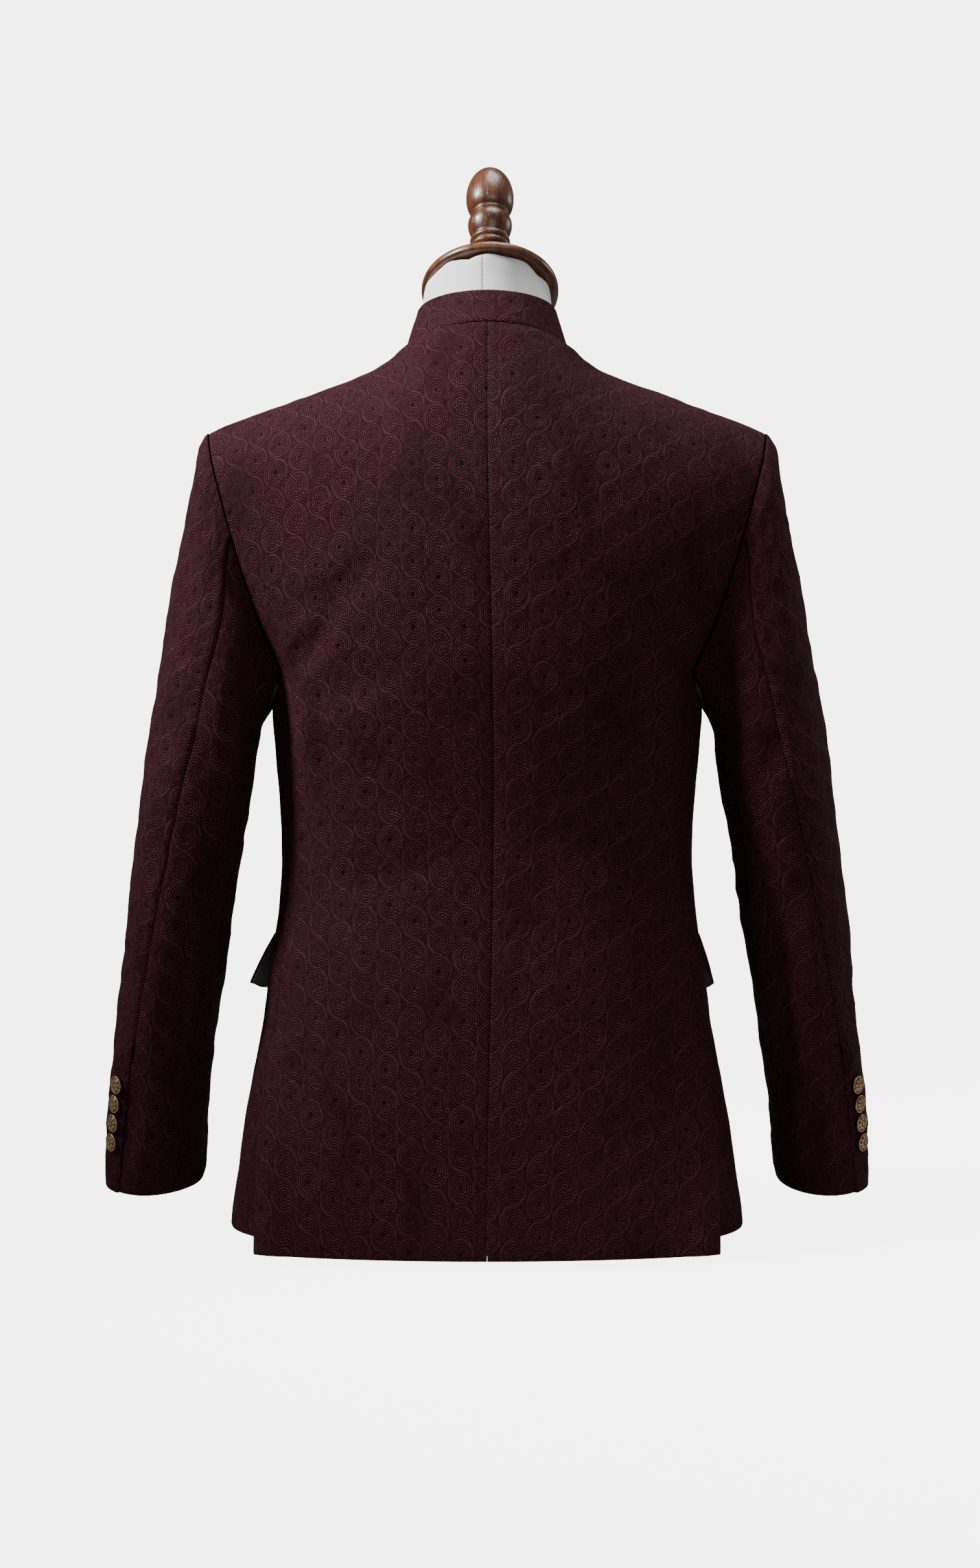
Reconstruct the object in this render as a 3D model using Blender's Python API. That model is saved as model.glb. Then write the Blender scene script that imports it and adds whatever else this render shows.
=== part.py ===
"""Prince coat (a stand-collared jacket) worn by a limbless dress form.

The coat faces -Y, its wearer's left is +X, and the form stands on z = 0 with the
origin under the middle of its base. Every cloth piece is a wall on one shared body
surface or on one shared sleeve surface, so neighbours meet along the same line.
"""

import math
from collections import namedtuple

import bmesh
import bpy
from mathutils import Matrix, Vector

MM = 0.001

# Cloth
WALL = 2.0 * MM
SEAM = 0.3 * MM
LIFT = WALL + 2.0 * SEAM
MERGE = 0.05 * MM
SHARP_ANGLE = math.radians(40.0)

# Body heights
HEM_Z = 6.0 * MM
VENT_TOP_Z = 154.0 * MM
CHEST_Z = 470.0 * MM
UNDERARM_DIP = 24.0 * MM
UNDERARM_OFFSET = 1.1 * MM
UNDERARM_EDGE = 1.76 * MM
UNDERARM_EDGE_ROW = 0.3

# Neck and shoulder lines, on the inside of the cloth
NECK_HALF_WIDTH = 68.6 * MM
NECK_POINT = Vector((NECK_HALF_WIDTH, -2.0 * MM, 733.5 * MM))
NECK_BACK = Vector((0.0, 60.0 * MM, 749.0 * MM))
NECK_FRONT = Vector((0.0, -80.0 * MM, 693.0 * MM))
SHOULDER_TIP = Vector((229.5 * MM, 2.0 * MM, 667.5 * MM))
SHOULDER_NORMAL = Vector((0.34, 0.0, 0.94)).normalized()
SHOULDER_KICK = 10.0 * MM
SHOULDER_KICK_LENGTH = 14.0 * MM

# Seam angles round the body, from the centre back
BACK_SEAM = math.radians(66.0)
FRONT_SEAM = math.radians(112.0)
VENT_UNDERLAP = math.radians(7.0)
VENT_OVERLAP = math.radians(1.0)
VENT_FLARE = Vector((-15.0 * MM, 40.0 * MM, 0.0))
ROUNDNESS = 0.86

# Column fractions of a back or front panel: the neckline runs to NECK_SHARE
NECK_SHARE = 0.34
NECK_COLUMNS = [0.0, 0.068, 0.136, 0.204, 0.272]
SHOULDER_COLUMNS = [0.34, 0.47, 0.60, 0.72, 0.86, 0.93, 1.0]
LAP_EDGE = -0.09
LAP_COLUMNS = [LAP_EDGE, 0.0, 0.10, 0.155, 0.21, 0.275]
LOWER_ROWS = [HEM_Z, 0.048, 0.094, 0.140, 0.155, 0.184, 0.222, 0.262, 0.302, 0.342, 0.384, 0.428]
FORM_FOOT_ROWS = [0.0, 0.012, 0.030]
UPPER_ROWS = [0.0, 0.16, 0.32, 0.48, 0.62, 0.75, 0.88, 1.0]
SIDE_COLUMNS = 4

# How far each column arches over the shoulder, and the fullness of the arch
ARCH_CENTRE = math.radians(54.0)
ARCH_FULLNESS = 0.88
ARCH_REACH = 1.15
BLADE_FULLNESS = 9.0 * MM
CHEST_FULLNESS = 6.0 * MM

# How the fullness grows from the middle of a panel to its armhole
FULLNESS_MIDDLE = 0.35
FULLNESS_OUTWARD = 0.65
FULLNESS_EDGE = 1.1

# Steps and powers of the surfaces
NORMAL_STEP = 0.004
EDGE_STEP = 0.01
NECK_CURVE = 1.3
FLARE_DROP_POWER = 1.2
FLARE_SHARE_POWER = 2.6
SIDE_TOP_POWER = 0.8
FORM_NECK_POWER = 2.4

# Where a lapping edge starts and ends standing out, in shares of its panel and in height
FRONT_LAP_START = 0.10
FRONT_LAP_END = 0.21
VENT_LAP_START = 0.70
VENT_LAP_END = 0.85
VENT_LAP_LOW = 2.0 * MM
VENT_LAP_HIGH = 30.0 * MM
VENT_UNDERLAP_DROP = 8.0 * MM

# How far the form's arm ends stay inside the armholes
ARM_END_INSET = 6.0 * MM
ARM_END_SWELL = 0.10
ARM_END_POWER = 6

Section = namedtuple("Section", "z half_width back front clearance")
BODY = [
    Section(0.000, 0.2120, 0.1180, 0.1340, 0.0440),
    Section(0.030, 0.2085, 0.1175, 0.1330, 0.0300),
    Section(0.060, 0.2040, 0.1170, 0.1320, 0.0255),
    Section(0.095, 0.1995, 0.1160, 0.1300, 0.0210),
    Section(0.138, 0.1915, 0.1140, 0.1270, 0.0150),
    Section(0.181, 0.1840, 0.1110, 0.1235, 0.0100),
    Section(0.225, 0.1790, 0.1070, 0.1195, 0.0070),
    Section(0.268, 0.1715, 0.1020, 0.1150, 0.0050),
    Section(0.311, 0.1680, 0.0995, 0.1130, 0.0045),
    Section(0.355, 0.1695, 0.1020, 0.1160, 0.0045),
    Section(0.398, 0.1730, 0.1075, 0.1215, 0.0040),
    Section(0.440, 0.1760, 0.1130, 0.1260, 0.0035),
    Section(0.480, 0.1780, 0.1170, 0.1285, 0.0055),
    Section(0.560, 0.1780, 0.1180, 0.1290, 0.0030),
    Section(0.630, 0.1780, 0.1180, 0.1290, 0.0006),
    Section(0.800, 0.1780, 0.1180, 0.1290, 0.0005),
]

Armhole = namedtuple("Armhole", "z back front")
ARMHOLE = [
    Armhole(0.440, 0.1620, 0.1600),
    Armhole(0.470, 0.1665, 0.1650),
    Armhole(0.495, 0.1780, 0.1735),
    Armhole(0.520, 0.1875, 0.1820),
    Armhole(0.560, 0.2005, 0.1930),
    Armhole(0.600, 0.2115, 0.2040),
    Armhole(0.636, 0.2215, 0.2155),
    Armhole(0.658, 0.2270, 0.2240),
    Armhole(0.6675, 0.2295, 0.2295),
    Armhole(0.690, 0.2335, 0.2335),
]

# Sleeve sections below the armhole, outside the cloth
Arm = namedtuple("Arm", "z x y half_width half_depth elbow_seam fore_seam")
ARM = [
    Arm(0.420, 0.2341, 0.0050, 0.0447, 0.0690, 92.0, 252.0),
    Arm(0.376, 0.2405, 0.0060, 0.0449, 0.0665, 86.0, 250.0),
    Arm(0.329, 0.2475, 0.0050, 0.0434, 0.0630, 81.0, 248.0),
    Arm(0.286, 0.2537, 0.0010, 0.0424, 0.0605, 76.0, 246.0),
    Arm(0.243, 0.2596, -0.0050, 0.0418, 0.0585, 71.0, 244.0),
    Arm(0.200, 0.2656, -0.0130, 0.0410, 0.0565, 66.0, 242.0),
    Arm(0.156, 0.2725, -0.0220, 0.0405, 0.0545, 63.5, 240.0),
    Arm(0.113, 0.2786, -0.0310, 0.0398, 0.0525, 62.0, 238.0),
    Arm(0.070, 0.2828, -0.0390, 0.0390, 0.0510, 59.0, 236.0),
    Arm(0.043, 0.2852, -0.0440, 0.0386, 0.0500, 56.0, 235.0),
]
CAP_ROWS = [0.0, 0.07, 0.18, 0.34, 0.52, 0.70, 0.86, 1.0]
ARM_ROWS = [0.376, 0.329, 0.286, 0.243, 0.200, 0.162, 0.150, 0.113, 0.076, 0.043]
CAP_START_PULL = 0.26
CAP_TOP_EASE = 0.80
CAP_END_PULL = 0.95
CAP_TILT_SWING = 0.175
CAP_TILT_MEAN = 0.425
ELBOW_BOW = math.radians(8.0)
COLUMN_TURN = math.radians(20.0)
ELBOW_COLUMN = 5
FORE_COLUMN = 13
SLEEVE_COLUMNS = 18
CUFF_VENT_TOP_Z = 156.0 * MM
CUFF_VENT_BOTTOM_Z = 150.0 * MM
CUFF_LAP_FADE = 20.0 * MM
CUFF_UNDERLAP = math.radians(14.0)
CUFF_LIFT_START = math.radians(48.0)
CUFF_LIFT_END = math.radians(21.0)
CUFF_SLOPE = 7.0 * MM
CUFF_SLOPE_TOP_Z = 160.0 * MM

# Large soft folds: where, how wide and how deep (a trough is negative)
Fold = namedtuple("Fold", "across height width tall depth")
BACK_FOLDS = [
    Fold(0.88, 0.500, 0.13, 0.070, -0.0040),
    Fold(0.62, 0.470, 0.16, 0.110, 0.0025),
]
FRONT_FOLDS = [
    Fold(0.90, 0.505, 0.12, 0.060, -0.0030),
]
SLEEVE_FOLDS = [
    Fold(118.0, 0.400, 22.0, 0.110, 0.0030),
    Fold(150.0, 0.330, 24.0, 0.120, -0.0030),
    Fold(118.0, 0.250, 22.0, 0.050, -0.0022),
    Fold(255.0, 0.330, 30.0, 0.040, -0.0030),
    Fold(20.0, 0.360, 30.0, 0.060, 0.0015),
]

# Collar
COLLAR_TOP_HALF_WIDTH = 56.4 * MM
COLLAR_TOP_Y = -18.5 * MM
COLLAR_TOP_BACK_Y = 41.2 * MM
COLLAR_TOP_FRONT_Y = -79.5 * MM
COLLAR_TOP_Z = 774.0 * MM
COLLAR_TOP_BACK_RISE = 5.6 * MM
COLLAR_TOP_FRONT_DROP = 43.0 * MM
COLLAR_BASE_INSET = 2.2 * MM
COLLAR_BASE_RISE = 2.9 * MM
COLLAR_FRONT_RISE = 1.6 * MM
COLLAR_BACK_EASE = 0.2 * MM
COLLAR_COLUMNS = 32
COLLAR_ROWS = 3
COLLAR_FRONT_GAP = math.radians(1.2)

# Neck cap and finial, on one tilted axis
CAP_CENTRE = Vector((0.0, -20.0 * MM, 789.5 * MM))
CAP_TILT = math.radians(24.0)
CAP_SHIFT = Vector((-2.5 * MM, 0.0, 0.0))
CAP_RADIUS_X = 57.8 * MM
CAP_RADIUS_Y = 64.0 * MM
NECK_OVERHANG = 2.9 * MM
NECK_ROWS = [0.05, 0.24, 0.48, 0.74, 1.0]
NECK_STEP = 0.32
CAP_SEGMENTS = 36
FINIAL_SEGMENTS = 20

# Hip pocket flaps
FLAP_TOP_Z = 252.0 * MM
FLAP_BOTTOM_Z = 203.0 * MM
FLAP_BACK = math.radians(97.0)
FLAP_FRONT = math.radians(141.0)
FLAP_STAND = 3.0 * MM
FLAP_FLARE_LEFT = 13.0 * MM
FLAP_FLARE_RIGHT = 4.0 * MM
FLAP_CORNER = 5.0 * MM
FLAP_CORNER_WIDTH = 0.10
FLAP_COLUMNS = 8
FLAP_ROWS = 3

# Buttons
CUFF_BUTTON_RADIUS = 7.5 * MM
CUFF_BUTTON_TOP_Z = 131.0 * MM
CUFF_BUTTON_PITCH = 15.6 * MM
CUFF_BUTTONS = 4
CUFF_BUTTON_INSET = math.radians(13.0)
FRONT_BUTTON_RADIUS = 10.0 * MM
FRONT_BUTTON_ROWS = [0.645, 0.582, 0.519, 0.456, 0.393, 0.330]
BUTTON_SEGMENTS = 14

Ring = namedtuple("Ring", "radius height")
BUTTON_PROFILE = [
    Ring(0.30, 0.000),
    Ring(0.30, 0.130),
    Ring(0.86, 0.170),
    Ring(1.00, 0.290),
    Ring(0.96, 0.420),
    Ring(0.80, 0.400),
    Ring(0.45, 0.520),
]
BUTTON_CROWN = 0.56
CAP_PROFILE = [
    Ring(0.93, 0.0000),
    Ring(1.00, 0.0015),
    Ring(1.00, 0.0060),
    Ring(0.95, 0.0078),
    Ring(0.62, 0.0110),
    Ring(0.40, 0.0140),
]
FINIAL_PROFILE = [
    Ring(0.0220, 0.0143),
    Ring(0.0232, 0.0175),
    Ring(0.0205, 0.0215),
    Ring(0.0148, 0.0280),
    Ring(0.0128, 0.0365),
    Ring(0.0142, 0.0440),
    Ring(0.0172, 0.0490),
    Ring(0.0153, 0.0522),
    Ring(0.0172, 0.0555),
    Ring(0.0148, 0.0597),
    Ring(0.0184, 0.0680),
    Ring(0.0191, 0.0727),
    Ring(0.0182, 0.0775),
    Ring(0.0160, 0.0810),
    Ring(0.0167, 0.0830),
    Ring(0.0160, 0.0850),
]
KNOB_MIDDLE = 0.1010
KNOB_RADIUS = 0.0208
KNOB_TOP = 0.1318
KNOB_RINGS = 7

Finish = namedtuple("Finish", "color roughness metallic")
FINISHES = {
    "wine_cloth": Finish((0.050, 0.010, 0.018), 0.80, 0.0),
    "form_linen": Finish((0.80, 0.80, 0.79), 0.85, 0.0),
    "walnut": Finish((0.115, 0.040, 0.018), 0.38, 0.0),
    "antique_gold": Finish((0.48, 0.34, 0.17), 0.35, 1.0),
}


def clear_scene():
    for item in list(bpy.data.objects):
        bpy.data.objects.remove(item, do_unlink=True)


def finish(name):
    material = bpy.data.materials.get(name) or bpy.data.materials.new(name)
    material.use_nodes = True
    look = FINISHES[name]
    shader = material.node_tree.nodes["Principled BSDF"]
    shader.inputs["Base Color"].default_value = (*look.color, 1.0)
    shader.inputs["Roughness"].default_value = look.roughness
    shader.inputs["Metallic"].default_value = look.metallic
    return material


def track(rows, column, at, key="z"):
    """A table's column at a height, on a smooth curve through its rows."""
    keys = [getattr(row, key) for row in rows]
    values = [getattr(row, column) for row in rows]
    if keys[0] > keys[-1]:
        keys.reverse()
        values.reverse()
    at = min(max(at, keys[0]), keys[-1])
    low = max(i for i in range(len(keys) - 1) if keys[i] <= at)
    span = keys[low + 1] - keys[low]

    def slope(i):
        before, after = max(i - 1, 0), min(i + 1, len(keys) - 1)
        return (values[after] - values[before]) / (keys[after] - keys[before])

    t = (at - keys[low]) / span
    start = (1 + 2 * t) * (1 - t) ** 2 * values[low] + t * (1 - t) ** 2 * span * slope(low)
    end = t * t * (3 - 2 * t) * values[low + 1] - t * t * (1 - t) * span * slope(low + 1)
    return start + end


def ramp(value, start, end):
    """0 before start, 1 after end, eased between."""
    t = min(max((value - start) / (end - start), 0.0), 1.0)
    return t * t * (3 - 2 * t)


def rounded(value):
    return math.copysign(abs(value) ** ROUNDNESS, value)


def bell(value, middle, width):
    return math.exp(-((value - middle) / width) ** 2)


def fold_depth(folds, across, height):
    return sum(
        fold.depth * bell(across, fold.across, fold.width) * bell(height, fold.height, fold.tall)
        for fold in folds
    )


def body_ring(angle, z):
    """A point of the body below the armholes, at an angle from the centre back."""
    across, along = rounded(math.sin(angle)), rounded(math.cos(angle))
    depth = track(BODY, "back", z) if along > 0 else track(BODY, "front", z)
    return Vector((track(BODY, "half_width", z) * across, depth * along, z))


def top_line(share, front):
    """The neckline, then the shoulder seam, along the top of a panel."""
    if abs(share) <= NECK_SHARE:
        turn = 0.5 * math.pi * share / NECK_SHARE
        middle = NECK_FRONT if front else NECK_BACK
        across, along = math.sin(turn), max(math.cos(turn), 0.0)
        return Vector((
            NECK_HALF_WIDTH * across,
            NECK_POINT.y + (middle.y - NECK_POINT.y) * along,
            NECK_POINT.z + (middle.z - NECK_POINT.z) * along ** NECK_CURVE,
        ))
    t = (share - NECK_SHARE) / (1 - NECK_SHARE)
    point = NECK_POINT.lerp(SHOULDER_TIP, t)
    reach = point.x - NECK_POINT.x
    kick = math.exp(-reach / SHOULDER_KICK_LENGTH) * (1 - t)
    start_drop = SHOULDER_KICK * (1 - kick) * (1 - t)
    return point - Vector((0.0, 0.0, start_drop))


def panel_point(front, share, row):
    """A back or front panel's inside. Rows up to 0 are heights less CHEST_Z, then 0 to 1."""
    seam = math.pi - FRONT_SEAM if front else BACK_SEAM
    angle = share * seam
    if front:
        angle = math.pi - angle
    if row <= 0.0:
        return body_ring(angle, CHEST_Z + row)
    base = body_ring(angle, CHEST_Z)
    top = top_line(share, front)
    arch = ARCH_CENTRE + (0.5 * math.pi - ARCH_CENTRE) * ramp(abs(share), 0.0, NECK_SHARE * ARCH_REACH)
    turn = row * arch
    rise = math.sin(turn) ** ARCH_FULLNESS / math.sin(arch) ** ARCH_FULLNESS
    end = max(math.cos(arch), 0.0) ** ARCH_FULLNESS
    inward = (max(math.cos(turn), 0.0) ** ARCH_FULLNESS - end) / (1 - end)
    z = CHEST_Z + (top.z - CHEST_Z) * rise
    full = CHEST_FULLNESS if front else BLADE_FULLNESS
    y = top.y + (base.y - top.y) * inward
    spread = FULLNESS_MIDDLE + FULLNESS_OUTWARD * abs(share) + FULLNESS_EDGE * share ** 4
    bulge = full * math.sin(math.pi * row) ** 1.5 * spread
    y += -bulge if front else bulge
    edge_rise = math.sin(row * 0.5 * math.pi) ** ARCH_FULLNESS
    edge_z = CHEST_Z + (SHOULDER_TIP.z - CHEST_Z) * edge_rise
    edge_x = track(ARMHOLE, "front" if front else "back", edge_z)
    edge_base = body_ring(math.pi - seam if front else seam, CHEST_Z).x
    edge_x += (edge_base - track(ARMHOLE, "front" if front else "back", CHEST_Z)) * (1 - row) ** 3
    part = (1 - row) * base.x / edge_base + row * top.x / SHOULDER_TIP.x
    return Vector((edge_x * part, y, z))


def lift_at(front, side, share, row):
    """How far a lapping edge stands out: the back over its vent, the left front at its closure."""
    if front:
        return LIFT * (1 - ramp(share, FRONT_LAP_START, FRONT_LAP_END)) if side > 0 else 0.0
    z = CHEST_Z + min(row, 0.0)
    above = ramp(z, VENT_TOP_Z + VENT_LAP_LOW, VENT_TOP_Z + VENT_LAP_HIGH)
    return LIFT * ramp(share, VENT_LAP_START, VENT_LAP_END) * (1 - above)


def vent_flare(share, row):
    """The back hangs flat between its side vents, so its lower corners swing out and back."""
    drop = min(max((VENT_TOP_Z - CHEST_Z - row) / (VENT_TOP_Z - HEM_Z), 0.0), 1.0)
    return VENT_FLARE * (drop ** FLARE_DROP_POWER * abs(share) ** FLARE_SHARE_POWER)


def surface_normal(point_at, u, v, limit):
    """The outward normal of a surface, from small steps along it."""
    low, high = max(v - NORMAL_STEP, limit[0]), min(v + NORMAL_STEP, limit[1])
    across = point_at(u + NORMAL_STEP, v) - point_at(u - NORMAL_STEP, v)
    along = point_at(u, high) - point_at(u, low)
    return along.cross(across).normalized()


def mirrored(point, side):
    return Vector((point.x * side, point.y, point.z))


def make_wall(name, inside, outside, material):
    """A closed wall between two matching grids of points."""
    mesh = bpy.data.meshes.new(name)
    shape = bmesh.new()
    skins = [[[shape.verts.new(p) for p in row] for row in grid] for grid in (inside, outside)]
    rows, columns = len(inside), len(inside[0])
    for skin in skins:
        for j in range(rows - 1):
            for i in range(columns - 1):
                shape.faces.new((skin[j][i], skin[j][i + 1], skin[j + 1][i + 1], skin[j + 1][i]))
    border = [(0, i) for i in range(columns - 1)]
    border += [(j, columns - 1) for j in range(rows - 1)]
    border += [(rows - 1, i) for i in range(columns - 1, 0, -1)]
    border += [(j, 0) for j in range(rows - 1, 0, -1)]
    for (j, i), (b, a) in zip(border, border[1:] + border[:1]):
        shape.faces.new((skins[0][j][i], skins[0][b][a], skins[1][b][a], skins[1][j][i]))
    return keep_shape(name, shape, mesh, material)


def keep_shape(name, shape, mesh, material):
    quads = [face for face in shape.faces if len(face.verts) == 4]
    bmesh.ops.triangulate(shape, faces=quads, quad_method="SHORT_EDGE")
    bmesh.ops.recalc_face_normals(shape, faces=shape.faces)
    shape.to_mesh(mesh)
    shape.free()
    mesh.shade_smooth()
    mesh.set_sharp_from_angle(angle=SHARP_ANGLE)
    mesh.materials.append(finish(material))
    item = bpy.data.objects.new(name, mesh)
    bpy.context.scene.collection.objects.link(item)
    return item


def panel_rows():
    return [z - CHEST_Z for z in LOWER_ROWS] + UPPER_ROWS


def edge_gap(point_at, share, row):
    """The share of a panel that half a seam's gap takes up."""
    length = (point_at(share, row) - point_at(share - EDGE_STEP, row)).length
    return 0.5 * SEAM * EDGE_STEP / length


def panel_normal(front, share, row):
    """The outward normal of a back or front panel."""
    def point_at(u, v):
        return panel_point(front, u, v)

    normal = surface_normal(point_at, share, row, (HEM_Z - CHEST_Z, 1.0))
    return -normal if front else normal


def make_panel(name, front, side):
    """One back or front: from the hem to the neckline and the shoulder seam."""
    neck = LAP_COLUMNS if front else NECK_COLUMNS
    columns = neck + SHOULDER_COLUMNS
    folds = FRONT_FOLDS if front else BACK_FOLDS

    def point_at(share, row):
        return panel_point(front, share, row)

    inside, outside = [], []
    for row in panel_rows():
        inner, outer = [], []
        for column in columns:
            share = column
            gap = edge_gap(point_at, max(share, 0.05), row)
            if share == 1.0:
                share -= gap
                if not front and row < VENT_TOP_Z - CHEST_Z:
                    share += VENT_OVERLAP / BACK_SEAM
            if share == 0.0 and not front:
                share += gap
            point = point_at(share, row)
            normal = panel_normal(front, share, row)
            if row == 1.0 and column >= NECK_SHARE:
                normal = SHOULDER_NORMAL
                point = point + Vector((0.0, -0.5 * SEAM if front else 0.5 * SEAM, 0.0))
            point += normal * lift_at(front, side, column, row)
            if not front:
                point += vent_flare(column, row)
            point += normal * fold_depth(folds, column, point.z)
            inner.append(mirrored(point, side))
            outer.append(mirrored(point + normal * WALL, side))
        inside.append(inner)
        outside.append(outer)
    return make_wall(name, inside, outside, "wine_cloth")


def side_top(angle):
    t = (angle - BACK_SEAM) / (FRONT_SEAM - BACK_SEAM)
    return CHEST_Z - UNDERARM_DIP * math.sin(math.pi * t) ** SIDE_TOP_POWER


def make_side(name, side):
    """The side body, from its hem to the bottom of the armhole."""
    inside, outside = [], []
    for z in LOWER_ROWS + [None]:
        inner, outer = [], []
        for column in range(SIDE_COLUMNS + 1):
            t = column / SIDE_COLUMNS
            angle = BACK_SEAM + (FRONT_SEAM - BACK_SEAM) * t
            height = side_top(angle) - 0.5 * SEAM if z is None else z
            if column == 0:
                height = CHEST_Z if z is None else z
                angle += 0.5 * SEAM / body_ring(angle, height).length
                if height < VENT_TOP_Z - VENT_UNDERLAP_DROP:
                    angle -= VENT_UNDERLAP
            if column == SIDE_COLUMNS:
                height = CHEST_Z if z is None else z
                angle -= 0.5 * SEAM / body_ring(angle, height).length
            point = body_ring(angle, height)
            normal = surface_normal(body_ring, angle, height, (HEM_Z, CHEST_Z))
            inner.append(mirrored(point, side))
            outer.append(mirrored(point + normal * WALL, side))
        inside.append(inner)
        outside.append(outer)
    return make_wall(name, inside, outside, "wine_cloth")


def armhole_start():
    """Where the sleeve's inside starts, round the armhole from the tip over the back."""

    def edge_point(front, row):
        point = panel_point(front, 1.0, row)
        normal = panel_normal(front, 1.0, row)
        foot = 1 - ramp(row, 0.0, UNDERARM_EDGE_ROW)
        return point + Vector((WALL * max(normal.x, 0.0) + SEAM + UNDERARM_EDGE * foot, 0.0, 0.0))

    back = [edge_point(False, row) for row in reversed(UPPER_ROWS)]
    front = [edge_point(True, row) for row in UPPER_ROWS]
    bottom = []
    for column in range(1, SIDE_COLUMNS):
        angle = BACK_SEAM + (FRONT_SEAM - BACK_SEAM) * column / SIDE_COLUMNS
        point = body_ring(angle, side_top(angle))
        bottom.append(point + Vector((WALL + SEAM + UNDERARM_OFFSET, 0.0, 0.0)))
    return back + bottom + front[:-1]


def loop_point(loop, turn):
    """A point on the armhole loop, at a turn from its top over the back."""
    at = (turn / COLUMN_TURN) % SLEEVE_COLUMNS
    low = int(math.floor(at)) % SLEEVE_COLUMNS
    return loop[low].lerp(loop[(low + 1) % SLEEVE_COLUMNS], at - math.floor(at))


def arm_ring(turn, z):
    """The inside of the sleeve below the armhole, round from the outer edge over the back."""
    width = track(ARM, "half_width", z) - WALL
    depth = track(ARM, "half_depth", z) - WALL
    across, along = math.cos(turn), math.sin(turn)
    cuff = 1 - ramp(z, ARM[-1].z, CUFF_SLOPE_TOP_Z)
    height = z - CUFF_SLOPE * cuff * along
    fullness = fold_depth(SLEEVE_FOLDS, math.degrees(turn) % 360.0, z)
    return Vector((
        track(ARM, "x", z) + (width + fullness) * across,
        track(ARM, "y", z) + (depth + fullness) * along,
        height,
    ))


def sleeve_point(loop, turn, level):
    """The sleeve's inside: levels 0 to 1 are the cap, then 1 plus the drop below it."""
    arm_top = ARM[0].z
    if level > 1.0:
        return arm_ring(turn, arm_top - (level - 1.0))
    start = loop_point(loop, turn)
    end = arm_ring(turn, arm_top)
    reach = (end - start).length
    out = Vector((1.0, 0.0, CAP_TILT_SWING * math.cos(turn) - CAP_TILT_MEAN)).normalized()
    down = Vector((ARM[1].x - ARM[0].x, ARM[1].y - ARM[0].y, ARM[1].z - ARM[0].z)).normalized()
    t = level
    point = (1 + 2 * t) * (1 - t) ** 2 * start + t * t * (3 - 2 * t) * end
    pull = CAP_START_PULL * (1 - CAP_TOP_EASE * max(math.cos(turn), 0.0) ** 2)
    point += t * (1 - t) ** 2 * reach * pull * out
    point -= t * t * (1 - t) * reach * CAP_END_PULL * down
    return point


def seam_turns(level):
    """The turns of the elbow and forearm seams at a level."""
    elbow_start, fore_start = ELBOW_COLUMN * COLUMN_TURN, FORE_COLUMN * COLUMN_TURN
    if level <= 1.0:
        t = ramp(level, 0.0, 1.0)
        elbow = elbow_start + (math.radians(ARM[0].elbow_seam) - elbow_start) * t
        elbow += ELBOW_BOW * math.sin(math.pi * max(level, 0.0)) ** 2
        return elbow, fore_start + (math.radians(ARM[0].fore_seam) - fore_start) * t
    z = ARM[0].z - (level - 1.0)
    return math.radians(track(ARM, "elbow_seam", z)), math.radians(track(ARM, "fore_seam", z))


def sleeve_levels():
    return CAP_ROWS + [1.0 + ARM[0].z - z for z in ARM_ROWS]


def make_sleeve(name, top, side, loop):
    """A top or under sleeve, from the armhole to the cuff."""
    if top:
        start, count = FORE_COLUMN - SLEEVE_COLUMNS, ELBOW_COLUMN + SLEEVE_COLUMNS - FORE_COLUMN
    else:
        start, count = ELBOW_COLUMN, FORE_COLUMN - ELBOW_COLUMN
    limit = (0.0, sleeve_levels()[-1])

    def point_at(turn, level):
        return sleeve_point(loop, turn, level)

    inside, outside = [], []
    for level in sleeve_levels():
        elbow, fore = seam_turns(level)
        radius = track(ARM, "half_width", ARM[0].z - max(level - 1.0, 0.0))
        gap = 0.5 * SEAM / radius
        z = ARM[0].z - (level - 1.0)
        open_vent = level > 1.0 and z < 0.5 * (CUFF_VENT_TOP_Z + CUFF_VENT_BOTTOM_Z)
        if top:
            low, high = fore - 2 * math.pi + gap, elbow - gap
        else:
            low, high = elbow + gap, fore - gap
            if open_vent:
                low -= CUFF_UNDERLAP
        inner, outer = [], []
        for column in range(count + 1):
            turn = low + (high - low) * column / count
            point = point_at(turn, level)
            normal = surface_normal(point_at, turn, level, limit)
            if top and level > 1.0:
                near = ramp(turn, high - CUFF_LIFT_START, high - CUFF_LIFT_END)
                above = ramp(z, CUFF_VENT_TOP_Z, CUFF_VENT_TOP_Z + CUFF_LAP_FADE)
                point += normal * LIFT * near * (1 - above)
            inner.append(mirrored(point, side))
            outer.append(mirrored(point + normal * WALL, side))
        inside.append(inner)
        outside.append(outer)
    return make_wall(name, inside, outside, "wine_cloth")


def neckline(turn):
    """The neckline at a turn from the centre back, on the body surface."""
    share = NECK_SHARE * (1 - abs(1 - (turn / (0.5 * math.pi)) % 2))
    front = math.cos(turn) < 0
    point = top_line(share, front)
    return Vector((math.copysign(point.x, math.sin(turn)), point.y, point.z))


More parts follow.
